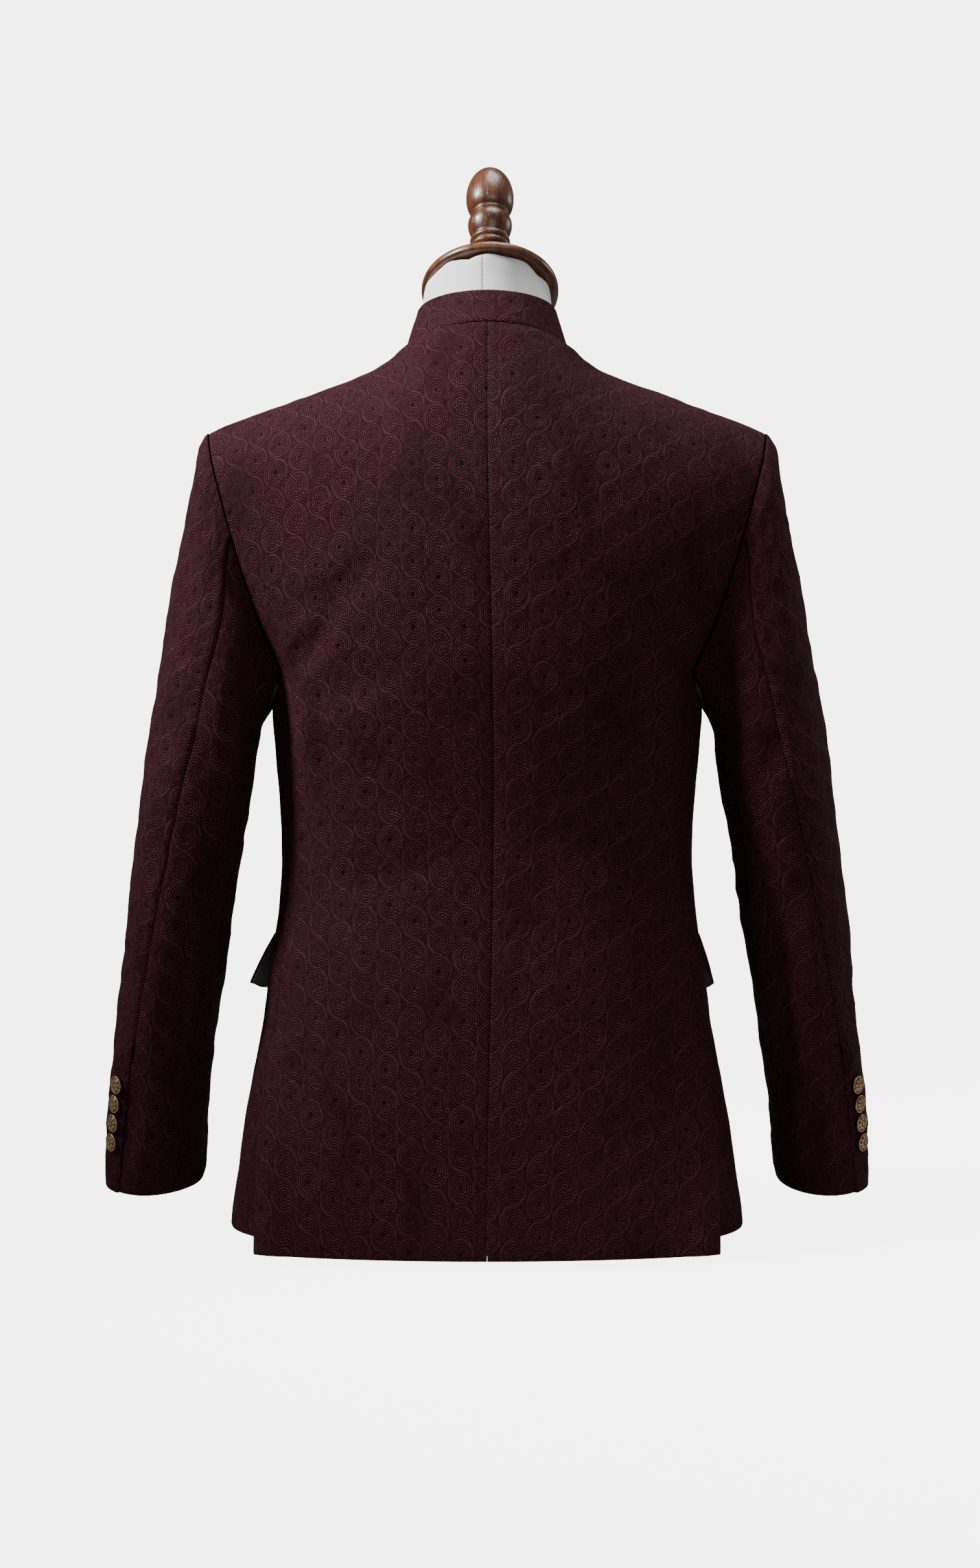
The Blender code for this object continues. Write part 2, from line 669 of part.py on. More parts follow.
def collar_point(turn, t):
    """The inside of the collar: t runs from its seam to its top edge."""
    along = math.cos(turn)
    base = neckline(turn)
    inset = 1 - COLLAR_BASE_INSET / NECK_HALF_WIDTH
    base = Vector((base.x * inset, base.y, base.z + COLLAR_BASE_RISE))
    if along > 0:
        base.y -= COLLAR_BACK_EASE * along
        y = COLLAR_TOP_Y + (COLLAR_TOP_BACK_Y - COLLAR_TOP_Y) * along
        z = COLLAR_TOP_Z + COLLAR_TOP_BACK_RISE * along
    else:
        base.z += COLLAR_FRONT_RISE * -along
        y = COLLAR_TOP_Y + (COLLAR_TOP_Y - COLLAR_TOP_FRONT_Y) * along
        z = COLLAR_TOP_Z - COLLAR_TOP_FRONT_DROP * abs(along) ** NECK_CURVE
    top = Vector((COLLAR_TOP_HALF_WIDTH * math.sin(turn), y, z))
    return base.lerp(top, t)


def make_collar():
    inside, outside = [], []
    low, high = -math.pi + COLLAR_FRONT_GAP, math.pi - COLLAR_FRONT_GAP
    for row in range(COLLAR_ROWS + 1):
        t = row / COLLAR_ROWS
        inner, outer = [], []
        for column in range(COLLAR_COLUMNS + 1):
            turn = low + (high - low) * column / COLLAR_COLUMNS
            point = collar_point(turn, t)
            out = surface_normal(collar_point, turn, t, (0.0, 1.0))
            out = Vector((out.x, out.y, 0.0)).normalized() if row == 0 else out
            inner.append(point)
            outer.append(point + out * WALL)
        inside.append(inner)
        outside.append(outer)
    return make_wall("collar", inside, outside, "wine_cloth")


def cap_frame(radius_x, radius_y, height):
    """Places a flat ring on the tilted axis of the neck cap."""
    tilted = Matrix.Translation(CAP_CENTRE) @ Matrix.Rotation(CAP_TILT, 4, "X")
    flat = Matrix.Translation((0.0, 0.0, height)) @ Matrix.Diagonal((radius_x, radius_y, 1.0, 1.0))
    return tilted @ flat


def form_ring_low(z):
    """One closed ring of the form, from the centre back round to it again."""
    clearance = track(BODY, "clearance", z)
    points = []
    for angle in form_angles():
        point = body_ring(angle, max(z, HEM_Z))
        normal = surface_normal(body_ring, angle, max(z, HEM_Z), (HEM_Z, CHEST_Z))
        flat = Vector((normal.x, normal.y, 0.0)).normalized()
        points.append(Vector((point.x, point.y, z)) - flat * clearance)
    return points


def form_shares(front):
    neck = LAP_COLUMNS[1:] if front else NECK_COLUMNS
    return neck + SHOULDER_COLUMNS


def form_angles():
    back = [share * BACK_SEAM for share in form_shares(False)]
    step = (FRONT_SEAM - BACK_SEAM) / SIDE_COLUMNS
    sides = [BACK_SEAM + step * i for i in range(1, SIDE_COLUMNS)]
    front = [math.pi - share * (math.pi - FRONT_SEAM) for share in reversed(form_shares(True))]
    return back + sides + front


def form_half_ring(front, row):
    points = []
    for share in form_shares(front):
        point = panel_point(front, share, row)
        normal = panel_normal(front, share, row)
        if row == 1.0 and share >= NECK_SHARE:
            normal = SHOULDER_NORMAL
        point -= normal * track(BODY, "clearance", point.z)
        point.x -= ARM_END_INSET * share ** ARM_END_POWER
        points.append(point)
    return points


def form_ring_high(row):
    """A ring of the form above the armhole's foot, with its arm end closed."""
    back = form_half_ring(False, row)
    front = list(reversed(form_half_ring(True, row)))
    ends = (back[-1], front[0])
    swell = (ends[0] - ends[1]).length * ARM_END_SWELL
    sides = []
    for i in range(1, SIDE_COLUMNS):
        t = i / SIDE_COLUMNS
        sides.append(ends[0].lerp(ends[1], t) + Vector((swell * math.sin(math.pi * t), 0.0, 0.0)))
    return back + sides + front


def whole_ring(half):
    other = [Vector((-p.x, p.y, p.z)) for p in reversed(half[1:-1])]
    ring = [Vector((0.0, half[0].y, half[0].z))] + half[1:-1]
    return ring + [Vector((0.0, half[-1].y, half[-1].z))] + other


def make_form():
    """Torso, shoulders and neck in one closed body with a flat base."""
    shape = bmesh.new()
    rows = [form_ring_low(z) for z in FORM_FOOT_ROWS + LOWER_ROWS[1:]]
    rows += [form_ring_high(row) for row in UPPER_ROWS]
    rings = [[shape.verts.new(p) for p in whole_ring(row)] for row in rows]
    shape.faces.new(list(reversed(rings[0])))
    for low, high in zip(rings, rings[1:]):
        join_rings(shape, low, high)
    top = rings[-1]
    half = len(top) // 2
    neck = len(NECK_COLUMNS)
    base = [top[i] for i in range(0, neck + 1)]
    base += [top[i] for i in range(half - neck, half + neck + 1)]
    base += [top[i] for i in range(len(top) - neck, len(top))]
    bmesh.ops.remove_doubles(shape, verts=top, dist=MERGE)
    base = unique_ring(base)
    add_neck(shape, base)
    mesh = bpy.data.meshes.new("dress_form")
    return keep_shape("dress_form", shape, mesh, "form_linen")


def unique_ring(verts):
    ring = []
    for vert in verts:
        if vert.is_valid and vert not in ring:
            ring.append(vert)
    return ring


def join_rings(shape, low, high):
    count = len(low)
    for i in range(count):
        j = (i + 1) % count
        shape.faces.new((low[i], low[j], high[j], high[i]))


def add_neck(shape, base):
    """The neck, from the neckline to the underside of its cap."""
    count = len(base)
    starts = [vert.co.copy() for vert in base]
    below = base
    place = cap_frame(CAP_RADIUS_X - NECK_OVERHANG, CAP_RADIUS_Y - NECK_OVERHANG, -SEAM)
    for t in NECK_ROWS:
        narrow = NECK_STEP + (1 - NECK_STEP) * (1 - (1 - t) ** FORM_NECK_POWER)
        ring = []
        for i in range(count):
            turn = 2 * math.pi * i / count
            top = place @ Vector((math.sin(turn), math.cos(turn), 0.0))
            flat = starts[i].lerp(top, narrow)
            tall = starts[i].lerp(top, t)
            ring.append(shape.verts.new((flat.x, flat.y, tall.z)))
        join_rings(shape, below, ring)
        below = ring
    shape.faces.new(below)


def make_turned(name, profile, segments, place, crown, material):
    """A turned solid: rings of a profile round a placed axis, closed by a flat foot and a crown."""
    shape = bmesh.new()
    rings = []
    for ring in profile:
        points = []
        for i in range(segments):
            turn = 2 * math.pi * i / segments
            points.append(place @ Vector((
                ring.radius * math.cos(turn), ring.radius * math.sin(turn), ring.height,
            )))
        rings.append([shape.verts.new(p) for p in points])
    for low, high in zip(rings, rings[1:]):
        join_rings(shape, low, high)
    shape.faces.new(list(reversed(rings[0])))
    if crown is None:
        shape.faces.new(rings[-1])
    else:
        tip = shape.verts.new(place @ Vector((0.0, 0.0, crown)))
        for i in range(segments):
            shape.faces.new((rings[-1][i], rings[-1][(i + 1) % segments], tip))
    mesh = bpy.data.meshes.new(name)
    return keep_shape(name, shape, mesh, material)


def make_cap():
    place = Matrix.Translation(CAP_SHIFT) @ cap_frame(CAP_RADIUS_X, CAP_RADIUS_Y, 0.0)
    return make_turned("neck_cap", CAP_PROFILE, CAP_SEGMENTS, place, None, "walnut")


def make_finial():
    """Base, rings, bulb and egg-shaped knob, turned from one piece."""
    profile = list(FINIAL_PROFILE)
    foot = profile[-1]
    for i in range(1, KNOB_RINGS + 1):
        t = i / (KNOB_RINGS + 1)
        height = foot.height + (KNOB_TOP - foot.height) * (0.5 - 0.5 * math.cos(math.pi * t))
        if height < KNOB_MIDDLE:
            rise = (KNOB_MIDDLE - height) / (KNOB_MIDDLE - foot.height)
            radius = foot.radius + (KNOB_RADIUS - foot.radius) * math.sqrt(1 - rise * rise)
        else:
            rise = (height - KNOB_MIDDLE) / (KNOB_TOP - KNOB_MIDDLE)
            radius = KNOB_RADIUS * math.sqrt(1 - rise * rise)
        profile.append(Ring(radius, height))
    place = Matrix.Translation(CAP_SHIFT) @ cap_frame(1.0, 1.0, 0.0)
    return make_turned("finial", profile, FINIAL_SEGMENTS, place, KNOB_TOP, "walnut")


def make_flap(name, side, flare):
    """A pocket flap on the outside of the front and side panels."""
    inside, outside = [], []
    for row in range(FLAP_ROWS + 1):
        drop = row / FLAP_ROWS
        z = FLAP_TOP_Z + (FLAP_BOTTOM_Z - FLAP_TOP_Z) * drop
        inner, outer = [], []
        for column in range(FLAP_COLUMNS + 1):
            t = column / FLAP_COLUMNS
            angle = FLAP_BACK + (FLAP_FRONT - FLAP_BACK) * t
            point = body_ring(angle, z)
            normal = surface_normal(body_ring, angle, z, (HEM_Z, CHEST_Z))
            stand = WALL + 2 * SEAM + FLAP_STAND * drop + flare * (1 - t) ** 2 * drop
            corner = FLAP_CORNER * drop * (bell(t, 0.0, FLAP_CORNER_WIDTH) + bell(t, 1.0, FLAP_CORNER_WIDTH))
            point = point + normal * stand + Vector((0.0, 0.0, corner))
            inner.append(mirrored(point, side))
            outer.append(mirrored(point + normal * WALL, side))
        inside.append(inner)
        outside.append(outer)
    return make_wall(name, inside, outside, "wine_cloth")


def button_place(foot, normal, radius):
    """Puts a button's axis along a normal, its foot on a point."""
    turn = normal.to_track_quat("Z", "Y").to_matrix().to_4x4()
    return Matrix.Translation(foot) @ turn @ Matrix.Diagonal((radius, radius, radius, 1.0))


def make_button(name, foot, normal, radius):
    place = button_place(foot, normal, radius)
    return make_turned(name, BUTTON_PROFILE, BUTTON_SEGMENTS, place, BUTTON_CROWN, "antique_gold")


def cuff_point(point_at, z):
    """The line that a cuff's buttons are sewn on, at a height."""
    level = 1.0 + ARM[0].z - z
    return point_at(seam_turns(level)[0] - CUFF_BUTTON_INSET, level)


def make_cuff_buttons(word, side, loop):
    def point_at(turn, level):
        return sleeve_point(loop, turn, level)

    for index in range(CUFF_BUTTONS):
        z = CUFF_BUTTON_TOP_Z - CUFF_BUTTON_PITCH * index
        level = 1.0 + ARM[0].z - z
        turn = seam_turns(level)[0] - CUFF_BUTTON_INSET
        low = max(row for row in ARM_ROWS if row <= z)
        high = min(row for row in ARM_ROWS if row > z)
        point = cuff_point(point_at, low).lerp(cuff_point(point_at, high), (z - low) / (high - low))
        normal = surface_normal(point_at, turn, level, (0.0, 2.0))
        foot = point + normal * (LIFT + WALL + 2 * SEAM)
        place_normal = mirrored(normal, side)
        make_button(f"cuff_button_{word}_{index + 1}", mirrored(foot, side), place_normal, CUFF_BUTTON_RADIUS)


def row_at(z):
    """The upper row whose centre front lies at a height."""
    low, high = 0.0, 1.0
    for _ in range(30):
        middle = 0.5 * (low + high)
        if panel_point(True, 0.0, middle).z < z:
            low = middle
        else:
            high = middle
    return low


def front_edge_point(row):
    """A point and its normal on the flat of the left front between two rows of its wall."""
    rows = panel_rows()
    low = max(i for i in range(len(rows) - 1) if rows[i] <= row)
    t = (row - rows[low]) / (rows[low + 1] - rows[low])
    stand = LIFT + WALL
    ends = [panel_point(True, 0.0, at) + panel_normal(True, 0.0, at) * stand for at in rows[low:low + 2]]
    slope = ends[1] - ends[0]
    return ends[0].lerp(ends[1], t), Vector((0.0, -slope.z, slope.y)).normalized()


def make_front_buttons():
    for index, z in enumerate(FRONT_BUTTON_ROWS):
        row = row_at(z) if z > CHEST_Z else z - CHEST_Z
        point, normal = front_edge_point(row)
        make_button(f"front_button_{index + 1}", point + normal * 2 * SEAM, normal, FRONT_BUTTON_RADIUS)


def main():
    clear_scene()
    make_form()
    make_cap()
    make_finial()
    make_collar()
    loop = armhole_start()
    for word, side, flare in (("left", 1, FLAP_FLARE_LEFT), ("right", -1, FLAP_FLARE_RIGHT)):
        make_panel(f"back_{word}", False, side)
        make_panel(f"front_{word}", True, side)
        make_side(f"side_{word}", side)
        make_sleeve(f"top_sleeve_{word}", True, side, loop)
        make_sleeve(f"under_sleeve_{word}", False, side, loop)
        make_flap(f"pocket_flap_{word}", side, flare)
        make_cuff_buttons(word, side, loop)
    make_front_buttons()


main()
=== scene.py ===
import math
import bpy
import bmesh
import numpy as np
from mathutils import Matrix, Vector


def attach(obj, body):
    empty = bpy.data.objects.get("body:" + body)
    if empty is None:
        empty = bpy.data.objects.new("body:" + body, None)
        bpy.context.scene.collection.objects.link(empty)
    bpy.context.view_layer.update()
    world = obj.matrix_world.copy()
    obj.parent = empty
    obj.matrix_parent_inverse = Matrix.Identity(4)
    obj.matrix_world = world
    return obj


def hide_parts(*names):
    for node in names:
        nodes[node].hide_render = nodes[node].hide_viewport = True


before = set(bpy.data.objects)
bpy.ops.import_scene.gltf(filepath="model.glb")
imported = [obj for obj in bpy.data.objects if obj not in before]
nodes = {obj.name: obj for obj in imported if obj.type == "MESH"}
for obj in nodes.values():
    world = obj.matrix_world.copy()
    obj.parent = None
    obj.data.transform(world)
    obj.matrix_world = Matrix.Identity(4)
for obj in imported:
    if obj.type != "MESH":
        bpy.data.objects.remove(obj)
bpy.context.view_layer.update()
print("packed model loaded:", len(nodes), "nodes")

# camera, lamps and floor
camera = {"place": (0.0, 1.8, 0.378), "lens": 79.36, "shiftX": 0.0030, "clipEnd": 60.0}
studio = {"backdrop": 5.3, "fill": 0.10, "beamAngle": 41.0, "floorTone": 0.40, "floorGlow": 5.1,
          "floorSize": 30.0}
# name, kind, place, aim, power, size
lamps = [("keyLight", "SPOT", (1.8, 0.62, 2.0), (0.0, 0.1, 0.72), 610.0, 0.5),
         ("topLight", "AREA", (-0.3, 0.1, 2.9), (0.0, 0.0, 0.6), 56.0, 1.2),
         ("rimLight", "AREA", (-2.6, -1.1, 1.5), (0.0, 0.0, 0.4), 14.0, 0.8),
         ("eyeLight", "AREA", (-0.7, 2.7, 1.3), (0.0, 0.1, 0.4), 17.0, 1.4)]

bpy.ops.object.camera_add(location=camera["place"], rotation=(math.radians(90), 0, math.radians(180)))
eye = bpy.context.object
eye.name = "photoCamera"
eye.data.sensor_fit = "HORIZONTAL"
eye.data.lens = camera["lens"]
eye.data.shift_x = camera["shiftX"]
eye.data.clip_end = camera["clipEnd"]
bpy.context.scene.camera = eye

for name, kind, place, aim, power, size in lamps:
    bpy.ops.object.light_add(type=kind, location=place)
    lamp = bpy.context.object
    lamp.name = name
    lamp.data.energy = power
    if kind == "SPOT":
        lamp.data.shadow_soft_size = size / 2
        lamp.data.spot_size, lamp.data.spot_blend = math.radians(studio["beamAngle"]), 1.0
    else:
        lamp.data.size = size
    lamp.rotation_euler = (Vector(aim) - Vector(place)).to_track_quat("-Z", "Y").to_euler()

world = bpy.data.worlds.new("paleStudio")
world.use_nodes = True
bpy.context.scene.world = world
worldTree = world.node_tree
shown = worldTree.nodes["Background"]
shown.inputs["Color"].default_value = (studio["backdrop"],) * 3 + (1.0,)
lighting = worldTree.nodes.new("ShaderNodeBackground")
lighting.inputs["Color"].default_value = (1.0, 1.0, 1.0, 1.0)
lighting.inputs["Strength"].default_value = studio["fill"]
rays = worldTree.nodes.new("ShaderNodeLightPath")
either = worldTree.nodes.new("ShaderNodeMixShader")
worldTree.links.new(rays.outputs["Is Camera Ray"], either.inputs["Fac"])
worldTree.links.new(lighting.outputs[0], either.inputs[1])
worldTree.links.new(shown.outputs[0], either.inputs[2])
worldTree.links.new(either.outputs[0], worldTree.nodes["World Output"].inputs["Surface"])

bpy.ops.mesh.primitive_plane_add(size=studio["floorSize"], location=(0, 0, -0.0005))
floor = bpy.context.object
floor.name = "studioFloor"
print("studio ready")


def join(tree, value, socket):
    # a wire, a socket or a plain value into a socket
    value = value.socket if isinstance(value, Wire) else value
    if isinstance(value, bpy.types.NodeSocket):
        tree.links.new(value, socket)
    else:
        socket.default_value = value


class Wire:
    # a node's output that can be used in a formula
    def __init__(self, tree, socket):
        self.tree, self.socket = tree, socket

    def do(self, operation, *others):
        node = self.tree.nodes.new("ShaderNodeMath")
        node.operation = operation
        for place, value in zip(node.inputs, (self, *others)):
            join(self.tree, value, place)
        return Wire(self.tree, node.outputs[0])

    def __add__(self, other):
        return self.do("ADD", other)

    def __sub__(self, other):
        return self.do("SUBTRACT", other)

    def __rsub__(self, other):
        return self.do("MULTIPLY_ADD", -1.0, other)

    def __mul__(self, other):
        return self.do("MULTIPLY", other)

    def __truediv__(self, other):
        return self.do("DIVIDE", other)

    def ramp(self, low, high):
        # a smooth rise from 0 at low to 1 at high
        node = self.tree.nodes.new("ShaderNodeMapRange")
        node.interpolation_type = "SMOOTHSTEP"
        for name, value in (("Value", self), ("From Min", low), ("From Max", high)):
            join(self.tree, value, node.inputs[name])
        return Wire(self.tree, node.outputs["Result"])

    def pick(self, first, second):
        # first where this wire is 0, second where it is 1
        node = self.tree.nodes.new("ShaderNodeMix")
        for place, value in ((0, self), (2, first), (3, second)):
            join(self.tree, value, node.inputs[place])
        return Wire(self.tree, node.outputs[0])


def splitVector(tree, vector):
    split = tree.nodes.new("ShaderNodeSeparateXYZ")
    tree.links.new(vector, split.inputs[0])
    return [Wire(tree, socket) for socket in split.outputs]


def attributeWire(tree, name):
    node = tree.nodes.new("ShaderNodeAttribute")
    node.attribute_name = name
    return Wire(tree, node.outputs["Fac"])


def objectPlace(tree):
    return tree.nodes.new("ShaderNodeTexCoord").outputs["Object"]


def clothPlace(tree):
    node = tree.nodes.new("ShaderNodeUVMap")
    node.uv_map = "cloth"
    return node.outputs["UV"]


def noise(tree, vector, scale, detail=2.0, roughness=0.5, stretch=None):
    if stretch is not None:
        mapping = tree.nodes.new("ShaderNodeMapping")
        mapping.inputs["Scale"].default_value = stretch[0]
        mapping.inputs["Rotation"].default_value = stretch[1]
        tree.links.new(vector, mapping.inputs["Vector"])
        vector = mapping.outputs["Vector"]
    node = tree.nodes.new("ShaderNodeTexNoise")
    node.inputs["Scale"].default_value = scale
    node.inputs["Detail"].default_value = detail
    node.inputs["Roughness"].default_value = roughness
    tree.links.new(vector, node.inputs["Vector"])
    return Wire(tree, node.outputs["Fac"])


def blendColour(tree, mask, first, second):
    node = tree.nodes.new("ShaderNodeMix")
    node.data_type = "RGBA"
    for place, value in ((0, mask), (6, first), (7, second)):
        join(tree, (*value, 1.0) if isinstance(value, tuple) else value, node.inputs[place])
    return node.outputs[2]


def newMaterial(name, roughness, **settings):
    material = bpy.data.materials.new(name)
    material.use_nodes = True
    shader = material.node_tree.nodes["Principled BSDF"]
    shader.inputs["Roughness"].default_value = roughness
    for socket, value in settings.items():
        shader.inputs[socket.replace("_", " ")].default_value = value
    return material, material.node_tree, shader


def surface(tree, shader, colour, roughness, height, distance, strength):
    # colour, roughness and relief into a material's shader
    join(tree, colour, shader.inputs["Base Color"])
    join(tree, roughness, shader.inputs["Roughness"])
    bump = tree.nodes.new("ShaderNodeBump")
    bump.inputs["Strength"].default_value = strength
    bump.inputs["Distance"].default_value = distance
    join(tree, height, bump.inputs["Height"])
    tree.links.new(bump.outputs["Normal"], shader.inputs["Normal"])


# the stitched pattern, in metres on the cloth
embroidery = {"columnPitch": 0.0202, "rowPitch": 0.0258, "tall": 0.78, "radius": 0.0100,
              "ringPitch": 0.00172, "dash": 0.0021, "slant": 0.34, "hole": 0.0012, "edgeLine": 0.0096,
              "dotPitch": 0.0019, "wobble": 0.00286, "tremble": 0.0007, "slowScale": 46.0,
              "fineScale": 420.0, "lumpScale": 120.0, "flatLightScale": 24.0, "flatLightTurn": math.radians(-34)}


def whiteNoise(tree, first, second):
    pair = tree.nodes.new("ShaderNodeCombineXYZ")
    tree.links.new(first.socket, pair.inputs[0])
    tree.links.new(second.socket, pair.inputs[1])
    chance = tree.nodes.new("ShaderNodeTexWhiteNoise")
    chance.noise_dimensions = "2D"
    tree.links.new(pair.outputs[0], chance.inputs["Vector"])
    return Wire(tree, chance.outputs["Value"])


def line(distance, half, soft):
    # 1 on a thread's middle, 0 beyond its side
    return 1.0 - distance.do("ABSOLUTE").ramp(half, half + soft)


def rosetteGroup():
    # staggered columns of stitched spirals on cloth coordinates in metres
    group = bpy.data.node_groups.new("stitchedRosettes", "ShaderNodeTree")
    group.interface.new_socket(name="Cloth", in_out="INPUT", socket_type="NodeSocketVector")
    cloth = group.nodes.new("NodeGroupInput").outputs["Cloth"]
    u, v = splitVector(group, cloth)[:2]
    half = u.do("SIGN")
    slow = noise(group, cloth, embroidery["slowScale"], 1.0)
    fine = noise(group, cloth, embroidery["fineScale"], 1.0)
    u = u + (slow - 0.5) * embroidery["wobble"] + (fine - 0.5) * embroidery["tremble"]
    v = v + (noise(group, cloth, 48.0, 1.0) - 0.5) * embroidery["wobble"]
    column, row, tall = embroidery["columnPitch"], embroidery["rowPitch"], embroidery["tall"]
    found = []
    for shift in (0.5, 0.0):
        a, b = u / (2 * column) + shift, v / row + shift
        du, dv = (a.do("FRACT") - 0.5) * (2 * column), (b.do("FRACT") - 0.5) * (row * tall)
        reach = (du * du + dv * dv).do("SQRT")
        turn = dv.do("ARCTAN2", du) / (2 * math.pi)
        found.append((reach, turn, a.do("FLOOR") + shift * 0.37, b.do("FLOOR") + shift * 1.61))
    nearer = found[1][0].do("LESS_THAN", found[0][0])
    reach = found[0][0].do("MINIMUM", found[1][0])
    turn = nearer.pick(found[0][1], found[1][1])
    luck = whiteNoise(group, *(nearer.pick(found[0][i], found[1][i]) for i in (2, 3)))
    # spiral rows of slanted dashes, some brighter than others
    spiral = reach / embroidery["ringPitch"] + turn + luck
    ring = spiral.do("FLOOR")
    count = ring * (2 * math.pi * embroidery["ringPitch"] / embroidery["dash"])
    count = count.do("ROUND").do("MAXIMUM", 4.0)
    phase = turn * count + ring * 0.5 + luck
    within = phase.do("FRACT") - 0.5
    thread = line(spiral.do("FRACT") - 0.5 + within * embroidery["slant"], 0.10, 0.20)
    dash = line(within, 0.30, 0.16)
    glint = whiteNoise(group, ring + luck * 7.3, phase.do("FLOOR") + luck) * 0.62 + 0.38
    rowGlint = whiteNoise(group, ring + luck * 3.1, luck) * 0.40 + 0.58
    inside = 1.0 - (reach - embroidery["radius"]).ramp(-0.0005, 0.0003)
    hole = 1.0 - (reach - luck * 0.0006).ramp(embroidery["hole"] * 0.3, embroidery["hole"])
    hole = hole * luck.ramp(0.25, 0.6)
    # the outer row is bright where it runs on into the next spiral
    edgeDash = line((turn * 30.0 + luck).do("FRACT") - 0.5, 0.34, 0.14)
    lean = (0.40 - half * (turn * (4 * math.pi)).do("SINE") * 0.34) * (slow * 1.6 + 0.15)
    edgeRow = line(reach - embroidery["edgeLine"], 0.00014, 0.00040) * edgeDash * lean * 0.72
    # dotted rows up the cloth between the columns
    between = line(((u / column).do("FRACT") - 0.5) * column, 0.00016, 0.0003) * (1.0 - inside)
    between = between * line((v / embroidery["dotPitch"]).do("FRACT") - 0.5, 0.28, 0.16) * (fine * 0.5)
    # painted light: slanting patches where the stitches fade into the ground, standing in for flat light
    # washing out the relief
    slantwise = ((1.0, 0.5, 1.0), (0.0, 0.0, embroidery["flatLightTurn"]))
    flatLightPatches = noise(group, cloth, embroidery["flatLightScale"], 2.0, 0.5, slantwise).ramp(0.50, 0.74)
    body = (inside * 0.4 + 0.6) * thread * dash * glint * rowGlint * (1.0 - hole)
    stitch = body.do("MAXIMUM", edgeRow).do("MAXIMUM", between) * (flatLightPatches * -0.6 + 1.0)
    dome = 1.0 - (reach / embroidery["radius"] - 0.55).do("ABSOLUTE").ramp(0.0, 0.60)
    lumps = noise(group, cloth, embroidery["lumpScale"], 2.0, 0.6)
    height = stitch * 0.50 + dome * (luck * 0.35 + 0.10) + lumps * 1.3 - hole * 0.35
    results = {"Stitch": stitch, "Height": height, "Hole": hole, "Inside": inside}
    for label in results:
        group.interface.new_socket(name=label, in_out="OUTPUT", socket_type="NodeSocketFloat")
    end = group.nodes.new("NodeGroupOutput")
    for label, value in results.items():
        join(group, value, end.inputs[label])
    return group


wine = {"ground": (0.0082, 0.0014, 0.0029), "nap": (0.0172, 0.0033, 0.0065), "thread": (0.130, 0.039, 0.056),
        "groove": (0.004, 0.0010, 0.0018), "bump": 0.0011}


def wineCloth():
    material, tree, shader = newMaterial("embroideredWine", 0.82, Sheen_Weight=0.02, Sheen_Roughness=0.4,
                                         Sheen_Tint=(0.62, 0.22, 0.32, 1.0), Specular_IOR_Level=0.05)
    cloth = clothPlace(tree)
    pattern = tree.nodes.new("ShaderNodeGroup")
    pattern.node_tree = rosettes
    tree.links.new(cloth, pattern.inputs["Cloth"])
    stitch, height, hole, inside = (Wire(tree, socket) for socket in pattern.outputs)
    suede = noise(tree, cloth, 900.0, 3.0, 0.7)
    mottle = noise(tree, cloth, 28.0, 3.0, 0.6)
    nap = suede * 0.9 + mottle * 0.8 - 0.35 - (1.0 - inside) * 0.04
    ground = blendColour(tree, nap.do("MAXIMUM", 0.0).do("MINIMUM", 1.0), wine["ground"], wine["nap"])
    threads = blendColour(tree, stitch * (suede * 0.5 + 0.65), ground, wine["thread"])
    dark = (1.0 - attributeWire(tree, "edge").ramp(0.0, 0.0006)).do("MAXIMUM", hole * 0.6)
    shaded = blendColour(tree, dark * 0.65, threads, wine["groove"])
    roughness = suede * 0.12 + 0.78 - stitch * 0.22
    surface(tree, shader, shaded, roughness, height + suede * 0.36, wine["bump"], 1.0)
    return material


def liningSatin():
    material, tree, shader = newMaterial("wineLining", 0.42, Sheen_Weight=0.15)
    cloth = clothPlace(tree)
    u, v = splitVector(tree, cloth)[:2]
    twill = ((u + v) * 9000.0).do("SINE") * 0.5 + 0.5
    shade = noise(tree, cloth, 30.0, 2.0)
    colour = blendColour(tree, twill * 0.4 + shade * 0.6, (0.030, 0.006, 0.010), (0.060, 0.014, 0.022))
    surface(tree, shader, colour, twill * 0.10 + 0.36, twill + shade * 2.0, 0.0002, 0.4)
    return material


def linenCover():
    # off-white cover with a stitched seam up the centre back
    material, tree, shader = newMaterial("linenCover", 0.9, Sheen_Weight=0.12)
    place = objectPlace(tree)
    x, y, z = splitVector(tree, place)
    around = y.do("ARCTAN2", x) * 0.055
    warp, weft = ((length * 7800.0).do("SINE") * 0.5 + 0.5 for length in (around, z))
    slub = noise(tree, place, 160.0, 3.0, 0.6, ((1.0, 1.0, 6.0), (0.0, 0.0, 0.0)))
    weave = warp * 0.5 + weft * 0.5
    seamLine = (x - 0.0035).do("ABSOLUTE")
    seamMask = (1.0 - seamLine.ramp(0.0004, 0.0015)) * y.ramp(0.0, 0.004)
    stitches = (1.0 - ((z / 0.0034).do("FRACT") - 0.5).do("ABSOLUTE").ramp(0.22, 0.34))
    dotted = (1.0 - seamLine.ramp(0.0003, 0.0008)) * y.ramp(0.0, 0.004) * stitches
    base = blendColour(tree, weave * 0.5 + slub * 0.5, (0.84, 0.84, 0.835), (0.93, 0.93, 0.925))
    creased = blendColour(tree, seamMask * 0.25, base, (0.42, 0.42, 0.41))
    sewn = blendColour(tree, dotted * 0.8, creased, (0.30, 0.29, 0.28))
    relief = weave * 0.25 + slub * 0.35 - seamMask * 1.4 + dotted * 0.6
    surface(tree, shader, sewn, slub * 0.1 + 0.84, relief, 0.0006, 0.6)
    return material


